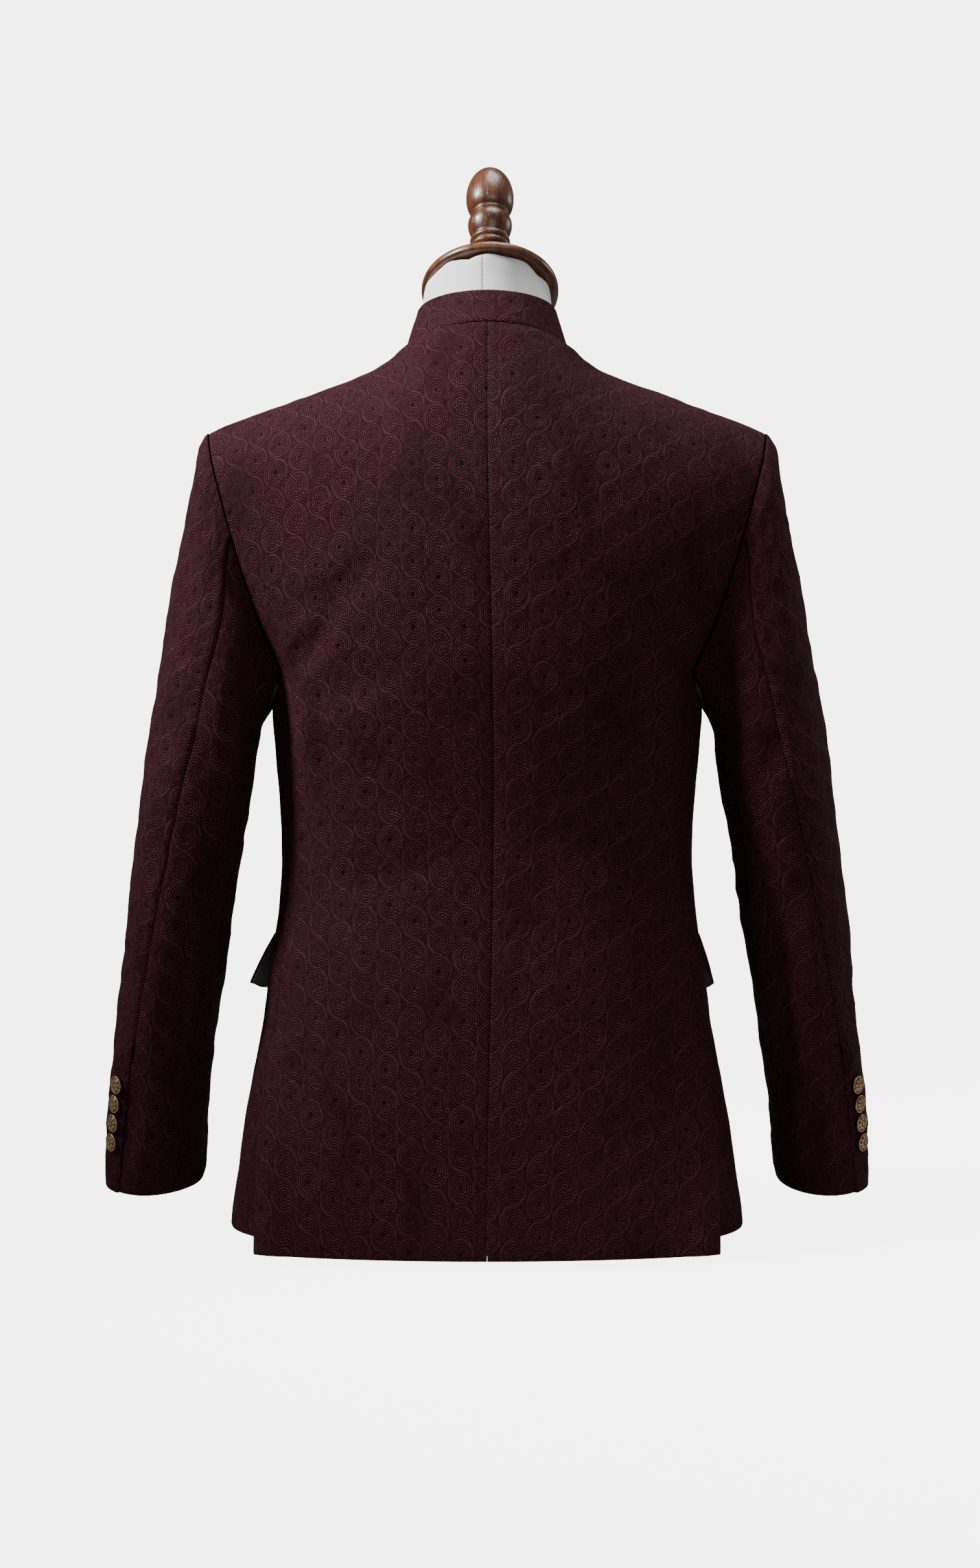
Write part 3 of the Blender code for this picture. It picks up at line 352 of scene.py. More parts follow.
def walnutWood(tilt):
    # turned walnut: growth rings and pores run along the turning axis
    material, tree, shader = newMaterial("turnedWalnut", 0.30, Coat_Weight=0.12, Coat_Roughness=0.2)
    place = objectPlace(tree)
    mapping = tree.nodes.new("ShaderNodeMapping")
    mapping.vector_type = "TEXTURE"
    mapping.inputs["Location"].default_value = capPlace["centre"]
    mapping.inputs["Rotation"].default_value = (tilt, 0.0, 0.0)
    tree.links.new(place, mapping.inputs["Vector"])
    local = mapping.outputs["Vector"]
    streak = noise(tree, local, 120.0, 4.0, 0.6, ((1.0, 0.35, 0.16), (0.0, 0.0, math.radians(20))))
    pores = noise(tree, local, 900.0, 2.0, 0.7, ((1.0, 0.5, 0.06), (0.0, 0.0, 0.0))).ramp(0.56, 0.68) * 0.7
    wide = noise(tree, local, 22.0, 2.0, 0.5)
    base = blendColour(tree, streak * 1.6 + wide * 0.8 - 0.75, (0.022, 0.006, 0.003), (0.210, 0.066, 0.022))
    pored = blendColour(tree, pores, base, (0.014, 0.005, 0.003))
    surface(tree, shader, pored, streak * 0.16 + 0.26, streak * 0.3 - pores, 0.0003, 0.5)
    return material


def antiqueGold():
    # bright where handled, brown patina in the hollows
    material, tree, shader = newMaterial("antiqueGold", 0.34)
    grime = noise(tree, objectPlace(tree), 420.0, 3.0, 0.6)
    wear = (attributeWire(tree, "relief") + (grime - 0.5) * 0.7).ramp(0.30, 0.72)
    colour = blendColour(tree, wear, (0.070, 0.040, 0.020), (0.62, 0.42, 0.21))
    join(tree, wear * 0.25 + 0.72, shader.inputs["Metallic"])
    surface(tree, shader, colour, wear * -0.26 + 0.58 + grime * 0.08, grime, 0.0002, 0.4)
    return material


def floorPaint():
    material, tree, shader = newMaterial("floorPaint", 0.9)
    tone = studio["floorTone"]
    colour = blendColour(tree, noise(tree, objectPlace(tree), 3.0), (tone,) * 3, (tone + 0.01,) * 3)
    join(tree, colour, shader.inputs["Base Color"])
    # the floor shows as pale as the backdrop and lights the coat no more than paint would
    shownToEye = Wire(tree, tree.nodes.new("ShaderNodeLightPath").outputs["Is Camera Ray"])
    shader.inputs["Emission Color"].default_value = (1.0, 1.0, 1.0, 1.0)
    join(tree, shownToEye * studio["floorGlow"], shader.inputs["Emission Strength"])
    return material


capPlace = {"centre": (-0.0025, -0.020, 0.7895), "tilt": math.radians(24.0), "radiusX": 0.0578,
            "radiusY": 0.0640}
rosettes = rosetteGroup()
clothMaterial = wineCloth()
liningMaterial = liningSatin()
linenMaterial = linenCover()
walnutMaterial = walnutWood(capPlace["tilt"])
goldMaterial = antiqueGold()
floor.data.materials.append(floorPaint())
print("materials ready")

# body and sleeve surfaces, the same as the solids have
wall, seam = 0.002, 0.0003
lift = wall + 2 * seam
hemZ, ventTopZ, chestZ, underarmDip = 0.006, 0.154, 0.470, 0.024
neckShare = 0.34
neckPoint = np.array((0.0686, -0.002, 0.7335))
neckBack = np.array((0.0, 0.060, 0.749))
neckFront = np.array((0.0, -0.080, 0.693))
shoulderTip = np.array((0.2295, 0.002, 0.6675))
backSeam, frontSeam = math.radians(66.0), math.radians(112.0)
archCentre, archFullness, bodyFullness = math.radians(54.0), 0.88, 0.86
shoulderSag, kickReach, frontBulge, backBulge = 0.010, 0.014, 0.006, 0.009
sleeveHead = {"outTilt": 0.175, "outDrop": 0.425, "outPull": 0.26, "backEase": 0.80, "downPull": 0.95}

# height, half width, back depth, front depth
bodyRows = [
    (0.000, 0.2120, 0.1180, 0.1340), (0.030, 0.2085, 0.1175, 0.1330), (0.060, 0.2040, 0.1170, 0.1320),
    (0.095, 0.1995, 0.1160, 0.1300), (0.138, 0.1915, 0.1140, 0.1270), (0.181, 0.1840, 0.1110, 0.1235),
    (0.225, 0.1790, 0.1070, 0.1195), (0.268, 0.1715, 0.1020, 0.1150), (0.311, 0.1680, 0.0995, 0.1130),
    (0.355, 0.1695, 0.1020, 0.1160), (0.398, 0.1730, 0.1075, 0.1215), (0.440, 0.1760, 0.1130, 0.1260),
    (0.480, 0.1780, 0.1170, 0.1285), (0.560, 0.1780, 0.1180, 0.1290), (0.630, 0.1780, 0.1180, 0.1290),
    (0.800, 0.1780, 0.1180, 0.1290)]
# height, armhole seam on the back, on the front
armholeRows = [
    (0.440, 0.1620, 0.1600), (0.470, 0.1665, 0.1650), (0.495, 0.1780, 0.1735), (0.520, 0.1875, 0.1820),
    (0.560, 0.2005, 0.1930), (0.600, 0.2115, 0.2040), (0.636, 0.2215, 0.2155), (0.658, 0.2270, 0.2240),
    (0.6675, 0.2295, 0.2295), (0.690, 0.2335, 0.2335)]
# height, centre x, centre y, half width, half depth, elbow seam, forearm seam
armRows = [
    (0.420, 0.2341, 0.0050, 0.0447, 0.0690, 92.0, 252.0),
    (0.376, 0.2405, 0.0060, 0.0449, 0.0665, 86.0, 250.0),
    (0.329, 0.2475, 0.0050, 0.0434, 0.0630, 81.0, 248.0),
    (0.286, 0.2537, 0.0010, 0.0424, 0.0605, 76.0, 246.0),
    (0.243, 0.2596, -0.0050, 0.0418, 0.0585, 71.0, 244.0),
    (0.200, 0.2656, -0.0130, 0.0410, 0.0565, 66.0, 242.0),
    (0.156, 0.2725, -0.0220, 0.0405, 0.0545, 63.5, 240.0),
    (0.113, 0.2786, -0.0310, 0.0398, 0.0525, 62.0, 238.0),
    (0.070, 0.2828, -0.0390, 0.0390, 0.0510, 59.0, 236.0),
    (0.043, 0.2852, -0.0440, 0.0386, 0.0500, 56.0, 235.0)]
armTop, cuffZ, elbowBow = armRows[0][0], armRows[-1][0], math.radians(8.0)


def curveOf(rows, column):
    # a smooth curve through one column of a table
    table = sorted(rows)
    keys = np.array([row[0] for row in table])
    values = np.array([row[column] for row in table])
    last = len(keys) - 1
    after, before = np.minimum(np.arange(last + 1) + 1, last), np.maximum(np.arange(last + 1) - 1, 0)
    slopes = (values[after] - values[before]) / (keys[after] - keys[before])

    def curve(at):
        at = np.clip(at, keys[0], keys[-1])
        low = np.clip(np.searchsorted(keys, at, side="right") - 1, 0, last - 1)
        span = keys[low + 1] - keys[low]
        t = (at - keys[low]) / span
        start = (1 + 2 * t) * (1 - t) ** 2 * values[low] + t * (1 - t) ** 2 * span * slopes[low]
        return start + t * t * (3 - 2 * t) * values[low + 1] - t * t * (1 - t) * span * slopes[low + 1]
    return curve


bodyHalf, bodyBack, bodyFront = (curveOf(bodyRows, i) for i in (1, 2, 3))
armholeBack, armholeFront = curveOf(armholeRows, 1), curveOf(armholeRows, 2)
armX, armY, armHalf, armDepth, elbowSeam, foreSeam = (curveOf(armRows, i) for i in range(1, 7))


def ease(value, start, end):
    t = np.clip((value - start) / (end - start), 0.0, 1.0)
    return t * t * (3 - 2 * t)


def stack(x, y, z):
    return np.stack(np.broadcast_arrays(x, y, z), axis=-1)


def length(vectors):
    return np.sqrt((vectors ** 2).sum(axis=-1))


def unit(vectors):
    return vectors / np.maximum(length(vectors), 1e-9)[..., None]


def bodyRing(angle, z):
    across, along = np.sin(angle), np.cos(angle)
    depth = np.where(along > 0, bodyBack(z), bodyFront(z))
    x, y = (np.sign(part) * np.abs(part) ** bodyFullness for part in (across, along))
    return stack(bodyHalf(z) * x, depth * y, z)


def topLine(share, front):
    turn = 0.5 * np.pi * np.clip(share / neckShare, -1.0, 1.0)
    middle = neckFront if front else neckBack
    along = np.maximum(np.cos(turn), 0.0)
    neck = stack(neckPoint[0] * np.sin(turn), neckPoint[1] + (middle[1] - neckPoint[1]) * along,
                 neckPoint[2] + (middle[2] - neckPoint[2]) * along ** 1.3)
    t = np.clip((share - neckShare) / (1 - neckShare), 0.0, 1.0)
    shoulder = neckPoint + (shoulderTip - neckPoint) * t[..., None]
    kick = np.exp(-(shoulder[..., 0] - neckPoint[0]) / kickReach) * (1 - t)
    shoulder[..., 2] -= shoulderSag * (1 - kick) * (1 - t)
    return np.where((np.abs(share) <= neckShare)[..., None], neck, shoulder)


def panelPoint(front, share, row):
    # rows up to 0 are heights less chestZ, then 0 to 1 up to the shoulder
    share, row = np.broadcast_arrays(share, row)
    seamAngle = math.pi - frontSeam if front else backSeam
    angle = math.pi - share * seamAngle if front else share * seamAngle
    lower = bodyRing(angle, chestZ + np.minimum(row, 0.0))
    up = np.clip(row, 0.0, 1.0)
    base, top = bodyRing(angle, chestZ), topLine(share, front)
    arch = archCentre + (0.5 * math.pi - archCentre) * ease(np.abs(share), 0.0, neckShare * 1.15)
    turn = up * arch
    rise = np.sin(turn) ** archFullness / np.sin(arch) ** archFullness
    end = np.maximum(np.cos(arch), 0.0) ** archFullness
    inward = (np.maximum(np.cos(turn), 0.0) ** archFullness - end) / (1 - end)
    z = chestZ + (top[..., 2] - chestZ) * rise
    spread = 0.35 + 0.65 * np.abs(share) + 1.1 * share ** 4
    bulge = (frontBulge if front else backBulge) * np.sin(math.pi * up) ** 1.5 * spread
    y = top[..., 1] + (base[..., 1] - top[..., 1]) * inward + (-bulge if front else bulge)
    edgeZ = chestZ + (shoulderTip[2] - chestZ) * np.sin(up * 0.5 * math.pi) ** archFullness
    armhole = armholeFront if front else armholeBack
    edgeBase = bodyRing(np.array(seamAngle), np.array(chestZ))[0]
    edgeX = armhole(edgeZ) + (edgeBase - armhole(chestZ)) * (1 - up) ** 3
    part = (1 - up) * base[..., 0] / edgeBase + up * top[..., 0] / shoulderTip[0]
    return np.where((row <= 0)[..., None], lower, stack(edgeX * part, y, z))


def sideTop(angle):
    t = np.clip((angle - backSeam) / (frontSeam - backSeam), 0.0, 1.0)
    return chestZ - underarmDip * np.sin(math.pi * t) ** 0.8


upperRows = np.array([0.0, 0.16, 0.32, 0.48, 0.62, 0.75, 0.88, 1.0])


def loopPoint(turn):
    # round the armhole from its top over the back, where the sleeve's inside starts
    at = np.mod(turn / math.radians(20.0), 18.0)
    backRow = np.interp(at, np.arange(8), upperRows[::-1])
    frontRow = np.interp(at, np.arange(11, 19), upperRows)
    angle = backSeam + (frontSeam - backSeam) * np.clip((at - 7) / 4, 0.0, 1.0)
    parts = []
    for front, row in ((False, backRow), (True, frontRow)):
        point = panelPoint(front, np.ones_like(row), row)
        foot = 1 - ease(row, 0.0, 0.3)
        outward = 0.55 + 0.42 * (1 - ease(row, 0.0, 0.8))
        point[..., 0] += wall * outward + 0.4 * seam + 0.00176 * foot
        parts.append(point)
    bottom = bodyRing(angle, sideTop(angle))
    bottom[..., 0] += wall + seam + 0.0011
    return np.where((at < 7)[..., None], parts[0], np.where((at > 11)[..., None], parts[1], bottom))


def armRing(turn, z):
    width, depth = armHalf(z) - wall, armDepth(z) - wall
    across, along = np.cos(turn), np.sin(turn)
    height = z - 0.007 * (1 - ease(z, cuffZ, 0.16)) * along
    return stack(armX(z) + width * across, armY(z) + depth * along, height)


def sleevePoint(turn, level):
    # levels 0 to 1 are the sleeve head, then 1 plus the drop below it
    turn, level = np.broadcast_arrays(turn, level)
    begin, finish = loopPoint(turn), armRing(turn, armTop)
    reach = length(finish - begin)[..., None]
    out = unit(stack(1.0, 0.0, sleeveHead["outTilt"] * np.cos(turn) - sleeveHead["outDrop"]))
    down = unit(np.array([b - a for a, b in zip(armRows[0], armRows[1])])[[1, 2, 0]])
    t = np.clip(level, 0.0, 1.0)[..., None]
    head = (1 + 2 * t) * (1 - t) ** 2 * begin + t * t * (3 - 2 * t) * finish
    pull = sleeveHead["outPull"] * (1 - sleeveHead["backEase"] * np.maximum(np.cos(turn), 0.0) ** 2)[..., None]
    head = head + t * (1 - t) ** 2 * reach * pull * out
    head = head - t * t * (1 - t) * reach * sleeveHead["downPull"] * down
    below = armRing(turn, armTop - np.maximum(level - 1.0, 0.0))
    return np.where((level <= 1.0)[..., None], head, below)


def seamTurns(level):
    t, z = ease(level, 0.0, 1.0), armTop - np.maximum(level - 1.0, 0.0)
    bow = elbowBow * np.sin(math.pi * np.clip(level, 0.0, 1.0)) ** 2
    elbow = math.radians(100.0) * (1 - t) + np.radians(elbowSeam(z)) * t + bow
    return elbow, math.radians(260.0) * (1 - t) + np.radians(foreSeam(z)) * t


# cloth sheets: the depths of puckers, ripples, seams and rolled edges
relief = {"calm": 0.012, "pucker": 0.00055, "ripple": 0.0005, "seamDip": (0.0005, 0.0011),
          "edgeRoll": (0.0006, 0.0009)}


def bell(value, middle, width):
    return np.exp(-((value - middle) / width) ** 2)


def steps(low, high, step, edge):
    # even steps with finer ones at both ends
    count = max(int(round((high - low - 2 * edge) / step)), 2)
    middle = np.linspace(low + edge, high - edge, count + 1)
    ends = edge * np.array([0.0, 0.12, 0.3, 0.6])
    return np.concatenate([low + ends, middle, high - ends[::-1]])


def along(grid, axis):
    # running length of a grid's lines
    parts = length(np.diff(grid, axis=axis))
    pad = np.zeros((1, grid.shape[1])) if axis == 0 else np.zeros((grid.shape[0], 1))
    return np.concatenate([pad, np.cumsum(parts, axis=axis)], axis=axis)

def edgeDistances(grid):
    # cloth length from the first and the last column, then from the first and the last row
    across, up = along(grid, 1), along(grid, 0)
    return across, across[:, -1:] - across, up, up[-1:, :] - up


def outwards(grid, flip=False):
    rows, columns = np.gradient(grid, axis=0), np.gradient(grid, axis=1)
    normal = unit(np.cross(rows, columns))
    return -normal if flip else normal


def partly(edge, onVent):
    # an edge's distances where it is sewn, and where the vent opens it
    return np.where(onVent, 1.0, edge), np.where(onVent, edge, 1.0)


def creases(u, v, table):
    # troughs with low shoulders along slightly bent lines: u0, v0, u1, v1, width, depth, bend
    total = 0.0
    for u0, v0, u1, v1, width, depth, bend in table:
        du, dv = u1 - u0, v1 - v0
        reach = math.hypot(du, dv)
        t = ((u - u0) * du + (v - v0) * dv) / reach ** 2
        off = ((u - u0) * dv - (v - v0) * du) / reach - bend * np.sin(math.pi * np.clip(t, 0, 1))
        window = np.exp(-np.abs((t - 0.5) / 0.42) ** 3.2)
        sides = bell(off, 1.7 * width, 0.9 * width) + bell(off, -1.7 * width, 0.9 * width)
        total = total + depth * window * (bell(off, 0.0, width) - 0.32 * sides)
    return total


def ripple(u, v, seed):
    # slow unevenness, the same on each run
    bent = np.sin(v * 37 + seed * 2.3 + np.sin(u * 31))
    a = np.sin(u * 61 + seed * 1.7 + 1.3 * np.sin(v * 23 + seed)) * bent
    b = np.sin(u * 137 + v * 71 + seed * 0.9) * np.sin(v * 113 - u * 47 + seed * 3.1)
    return 0.62 * a + 0.38 * b


def puckers(u, v):
    # each stitched spiral draws the cloth up a little
    column, row = embroidery["columnPitch"], embroidery["rowPitch"]
    best = np.full(u.shape, 9.0)
    for shift in (0.0, 0.5):
        du = (np.mod(u / (2 * column) + 0.5 - shift, 1.0) - 0.5) * 2 * column
        dv = (np.mod(v / row + 0.5 - shift, 1.0) - 0.5) * row * embroidery["tall"]
        best = np.minimum(best, np.hypot(du, dv) / embroidery["radius"])
    return np.cos(np.clip(best, 0.0, 1.25) * math.pi) * -0.5 + 0.5 * bell(best, 0.0, 0.3)


def makeSheet(name, grid, normal, uv, edge, lining, side):
    # a shell from its outside skin, its inside skin and its rim
    rows, columns = grid.shape[:2]
    inner = grid - normal * wall
    points = np.concatenate([grid.reshape(-1, 3), inner.reshape(-1, 3)])
    points[:, 0] *= side
    index = np.arange(rows * columns).reshape(rows, columns)
    a, b, c, d = index[:-1, :-1], index[:-1, 1:], index[1:, 1:], index[1:, :-1]
    skin = np.stack([a, b, c, d], axis=-1).reshape(-1, 4)
    inside = skin[:, ::-1] + rows * columns
    border = np.concatenate([index[0, :-1], index[:-1, -1], index[-1, :0:-1], index[:0:-1, 0]])
    ring = np.roll(border, -1)
    rim = np.stack([border, border + rows * columns, ring + rows * columns, ring], axis=-1)
    faces = np.concatenate([skin, inside, rim])
    mesh = bpy.data.meshes.new(name)
    mesh.from_pydata(points.tolist(), [], faces.tolist())
    layer = mesh.uv_layers.new(name="cloth")
    both = np.concatenate([uv.reshape(-1, 2), uv.reshape(-1, 2)])
    corners = np.empty(len(mesh.loops), dtype=np.int32)
    mesh.loops.foreach_get("vertex_index", corners)
    layer.data.foreach_set("uv", both[corners].astype(np.float32).ravel())
    edges = mesh.attributes.new("edge", "FLOAT", "POINT")
    edges.data.foreach_set("value", np.concatenate([edge.ravel(), edge.ravel()]).astype(np.float32))
    mesh.materials.append(clothMaterial)
    mesh.materials.append(liningMaterial)
    slots = np.zeros(len(faces), dtype=np.int32)
    slots[len(skin):2 * len(skin)] = lining[:-1, :-1].reshape(-1)
    mesh.polygons.foreach_set("material_index", slots)
    shape = bmesh.new()
    shape.from_mesh(mesh)
    bmesh.ops.recalc_face_normals(shape, faces=shape.faces)
    shape.to_mesh(mesh)
    shape.free()
    mesh.shade_smooth()
    piece = bpy.data.objects.new(name, mesh)
    bpy.context.scene.collection.objects.link(piece)
    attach(piece, "root")
    return piece


def rolled(grid, normal, edges):
    # the outside skin dips at seams and rolls over at free edges
    dip = sum(depth * bell(distance, 0.0, width) for distance, depth, width in edges)
    return grid - normal * dip[..., None]


def areaOf(grid):
    first = np.cross(grid[1:, :-1] - grid[:-1, :-1], grid[:-1, 1:] - grid[:-1, :-1])
    second = np.cross(grid[1:, :-1] - grid[1:, 1:], grid[:-1, 1:] - grid[1:, 1:])
    return float((length(first) + length(second)).sum() / 2)


def finishSheet(name, inside, flip, side, uv, seamEdges, freeEdges, fall, lining, node,
                pull=1.0, quiet=1.0, room=0.0):
    # inside is the grid of the cloth's inner face; fall is how far the outside is moved out of plain
    normal = outwards(inside, flip)
    u, v = uv[..., 0], uv[..., 1]
    calm = ease(np.minimum.reduce(seamEdges + freeEdges), 0.0, relief["calm"]) * quiet
    drawn = (puckers(u, v) * relief["pucker"] + ripple(u, v, len(name)) * relief["ripple"]) * pull
    base = inside + normal * (wall + fall + (drawn + room) * calm)[..., None]
    normal = outwards(base, flip)
    edges = [(d, *relief["seamDip"]) for d in seamEdges] + [(d, *relief["edgeRoll"]) for d in freeEdges]
    outside = rolled(base, normal, edges)
    piece = makeSheet(name, outside, normal, uv, np.minimum.reduce(seamEdges), lining, side)
    area = areaOf(base)
    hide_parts(node)


sideWords = ((1, "left"), (-1, "right"))

# u is measured from the centre back, positive to the wearer's left; v is the height on the cloth
panel = {"columnStep": 0.0200, "rowStep": 0.0044, "archStep": 0.0135, "hemFold": 0.032, "facing": 0.075,
         "seamSway": 0.0050, "frontEdge": -0.09, "vent": (-0.015, 0.040, 0.0), "byNeck": 0.0009,
         "room": 0.0007, "pull": 1.25}
panelCreases = {
    "backLeft": [
        (0.120, 0.520, 0.176, 0.470, 0.010, -0.0042, 0.004),
        (0.085, 0.560, 0.165, 0.515, 0.013, -0.0030, 0.006),
        (0.060, 0.470, 0.170, 0.440, 0.014, -0.0016, -0.004),
        (0.020, 0.330, 0.150, 0.300, 0.016, -0.0012, 0.004)],
    "backRight": [
        (0.115, 0.515, 0.176, 0.468, 0.011, -0.0036, 0.005),
        (0.090, 0.550, 0.160, 0.505, 0.014, -0.0022, 0.006),
        (0.030, 0.340, 0.150, 0.305, 0.015, -0.0012, -0.004)],
    "frontLeft": [
        (0.120, 0.515, 0.180, 0.470, 0.011, -0.0036, 0.004),
        (0.060, 0.600, 0.150, 0.540, 0.014, -0.0018, 0.006),
        (0.020, 0.345, 0.140, 0.300, 0.015, -0.0014, 0.004)],
    "frontRight": [
        (0.115, 0.520, 0.180, 0.466, 0.012, -0.0034, 0.005),
        (0.070, 0.590, 0.150, 0.530, 0.014, -0.0018, 0.006),
        (0.030, 0.340, 0.140, 0.310, 0.014, -0.0012, -0.004)]}
# below the armhole the cloth is drawn in along the side seam and stands out beside it
underarm = {"height": 0.425, "reach": 0.040, "trough": 0.0026, "troughWidth": 0.013, "crest": 0.0050,
            "crestAt": 0.030, "crestWidth": 0.012}


def panelUv(grid, rows, anchor, sign):
    # cloth coordinates in metres from the centre line and the chest line
    across, up = along(grid, 1), along(grid, 0)
    across = across - across[:, anchor:anchor + 1]
    chest = int(np.argmin(np.abs(rows)))
    up = up - up[chest:chest + 1, :] + chestZ
    return np.stack([across * sign, up], axis=-1)


def underarmFold(fromSeam, z, crest):
    trough = underarm["trough"] * bell(fromSeam, 0.0, underarm["troughWidth"])
    beside = crest * bell(fromSeam, underarm["crestAt"], underarm["crestWidth"])
    return bell(z, underarm["height"], underarm["reach"]) * (beside - trough)


def bodyPanel(front, side, word):
    name = ("front" if front else "back") + word.capitalize()
    shares = steps(panel["frontEdge"] if front else 0.0001, 0.9998, panel["columnStep"], 0.016)
    rows = np.concatenate([steps(hemZ - chestZ, -0.0022, panel["rowStep"], 0.004)[:-4],
                           steps(0.0, 1.0, panel["archStep"], 0.011)[4:]])
    share, row = np.meshgrid(shares, rows)
    shareAt = share
    if not front:
        below = 1 - ease(row, ventTopZ - chestZ - 0.008, ventTopZ - chestZ)
        shareAt = share + below * math.radians(1.0) / backSeam * ease(share, 0.9, 1.0)
    grid = panelPoint(front, shareAt, row)
    middle = int(np.argmin(np.abs(rows)))
    for _ in range(3):
        # ease the change of slope at the chest line
        before, at, after = (grid[middle - 8 + i:middle + 9 + i] for i in (-1, 0, 1))
        grid[middle - 8:middle + 9] = 0.25 * before + 0.5 * at + 0.25 * after
    normal = outwards(grid, front)
    shoulder = (ease(row, 0.985, 1.0) * (share >= neckShare))[..., None]
    normal = unit(normal * (1 - shoulder) + unit(np.array((0.34, 0.0, 0.94))) * shoulder)
    if front:
        # the left front laps over the right one
        out = lift * (1 - ease(share, 0.10, 0.21)) if side > 0 else 0.0 * share
    else:
        # the back laps over the side, flares out at the vent and sways along the centre seam
        z = chestZ + np.minimum(row, 0.0)
        out = lift * ease(share, 0.70, 0.85) * (1 - ease(z, ventTopZ + 0.002, ventTopZ + 0.030))
        drop = np.clip((ventTopZ - chestZ - row) / (ventTopZ - hemZ), 0.0, 1.0)
        grid = grid + np.array(panel["vent"]) * (drop ** 1.2 * share ** 2.6)[..., None]
        sway = panel["seamSway"] * np.sin(math.pi * np.clip((grid[..., 2] - 0.06) / 0.62, 0.0, 1.0)) ** 1.5
        grid[..., 0] -= side * sway * np.clip(1 - share, 0.0, 1.0) ** 2
    byNeck = ease(row, 0.80, 0.97) * (1 - ease(np.abs(share), 0.62, 0.85))
    grid = grid + normal * (out + panel["byNeck"] * byNeck)[..., None]
    uv = panelUv(grid, rows, int(np.argmin(np.abs(shares))), -side if front else side)
    u, v = np.abs(uv[..., 0]) * np.sign(share + 1e-9), uv[..., 1]
    across, lastColumn, up, topRow = edgeDistances(grid)
    fall = creases(u, v, panelCreases[name])
    lining = up > panel["hemFold"]
    if front:
        seams, free = [lastColumn, topRow], [across, up]
        lining = lining & (across > panel["facing"])
        flat, quiet = (0.300, 0.800), ease(share, 0.10, 0.22)
    else:
        sewn, opened = partly(lastColumn, row < ventTopZ - chestZ)
        seams, free = [partly(across, up < 0.006)[0], sewn, topRow], [up, opened]
        fall = fall + underarmFold(lastColumn, grid[..., 2], underarm["crest"])
        flat, quiet = (0.260, 0.810), 1.0
    finishSheet(name, grid, front, side, uv, seams, free, fall, lining,
                ("front_" if front else "back_") + word, panel["pull"], quiet, panel["room"])


sidePart = {"hemLift": 0.0085, "bendZ": 0.428, "underlap": math.radians(7.0), "arch": 0.19, "start": 0.235,
            "crease": (0.02, 0.16, 0.06, 0.30, 0.014, -0.0014, 0.003)}


def sidePanel(side, word):
    angles = steps(backSeam, frontSeam, math.radians(1.5), math.radians(0.9))
    share = (angles - backSeam) / (frontSeam - backSeam)
    heights = steps(0.0, 1.0, 0.0098, 0.008)
    t, row = np.meshgrid(share, heights)
    angle = backSeam + (frontSeam - backSeam) * t
    top = sideTop(angle) - 0.5 * seam
    hem, bendZ = hemZ + sidePart["hemLift"] * (1 - ease(t, 0.55, 1.0)), sidePart["bendZ"]
    z = np.where(row < 0.9, hem + (bendZ - hem) * row / 0.9, bendZ + (top - bendZ) * (row - 0.9) / 0.1)
    gap = 0.15 * seam / sidePart["arch"]
    angle = angle + gap * (1 - 2 * t)
    below = 1 - ease(z, ventTopZ - 0.012, ventTopZ - 0.004)
    angle = angle - below * sidePart["underlap"] * (1 - t) ** 2
    grid = bodyRing(angle, z)
    across, last, up, topRow = edgeDistances(grid)
    uv = np.stack([side * (across + sidePart["start"]), z], axis=-1)
    sewn, opened = partly(across, z < ventTopZ)
    fall = creases(across, z, [sidePart["crease"]]) + underarmFold(across, z, 0.0)
    finishSheet("side" + word.capitalize(), grid, False, side, uv, [sewn, last, topRow], [up, opened], fall,
                up > panel["hemFold"], "side_" + word)


sleeves = {
    "backBulge": 0.0085, "bulgeTurn": 119.0, "bulgeWidth": 21.0, "cuffWidening": 0.0045, "cuffFold": 0.030,
    "underlap": math.radians(14.0), "ventTop": 0.153, "perDegree": 0.0009, "pull": 3.5,
    # turn in degrees, height, second turn, second height, width, depth, bend
    "creases": {
        "left": [
            (112, 0.300, 128, 0.120, 0.0075, -0.0030, 0.002),
            (128, 0.330, 146, 0.100, 0.0085, -0.0040, -0.003),
            (150, 0.430, 170, 0.180, 0.0110, -0.0045, 0.004),
            (95, 0.420, 125, 0.355, 0.0100, -0.0028, 0.003),
            (60, 0.330, 110, 0.290, 0.0090, -0.0016, 0.002),
            (215, 0.330, 285, 0.300, 0.0090, -0.0032, 0.003),
            (220, 0.290, 275, 0.270, 0.0080, -0.0022, -0.002)],
        "right": [
            (110, 0.310, 124, 0.130, 0.0080, -0.0034, -0.002),
            (126, 0.340, 144, 0.090, 0.0090, -0.0040, 0.003),
            (150, 0.420, 168, 0.160, 0.0110, -0.0042, -0.004),
            (92, 0.425, 124, 0.365, 0.0100, -0.0030, 0.003),
            (64, 0.320, 108, 0.275, 0.0090, -0.0016, 0.002),
            (218, 0.325, 288, 0.300, 0.0090, -0.0030, 0.003),
            (216, 0.285, 270, 0.262, 0.0080, -0.0020, -0.002)]}}


def aroundAxis(grid, foot, axis):
    # bearing of each point round the arm, running on along each row
    across = unit(np.array((1.0, 0.0, 0.0)) - axis * axis[0])
    arm = grid - foot
    bearing = np.unwrap(np.arctan2(arm @ np.cross(axis, across), arm @ across), axis=1)
    return bearing - 2 * math.pi * np.round((bearing[:, :1] + 0.25 * math.pi) / (2 * math.pi))


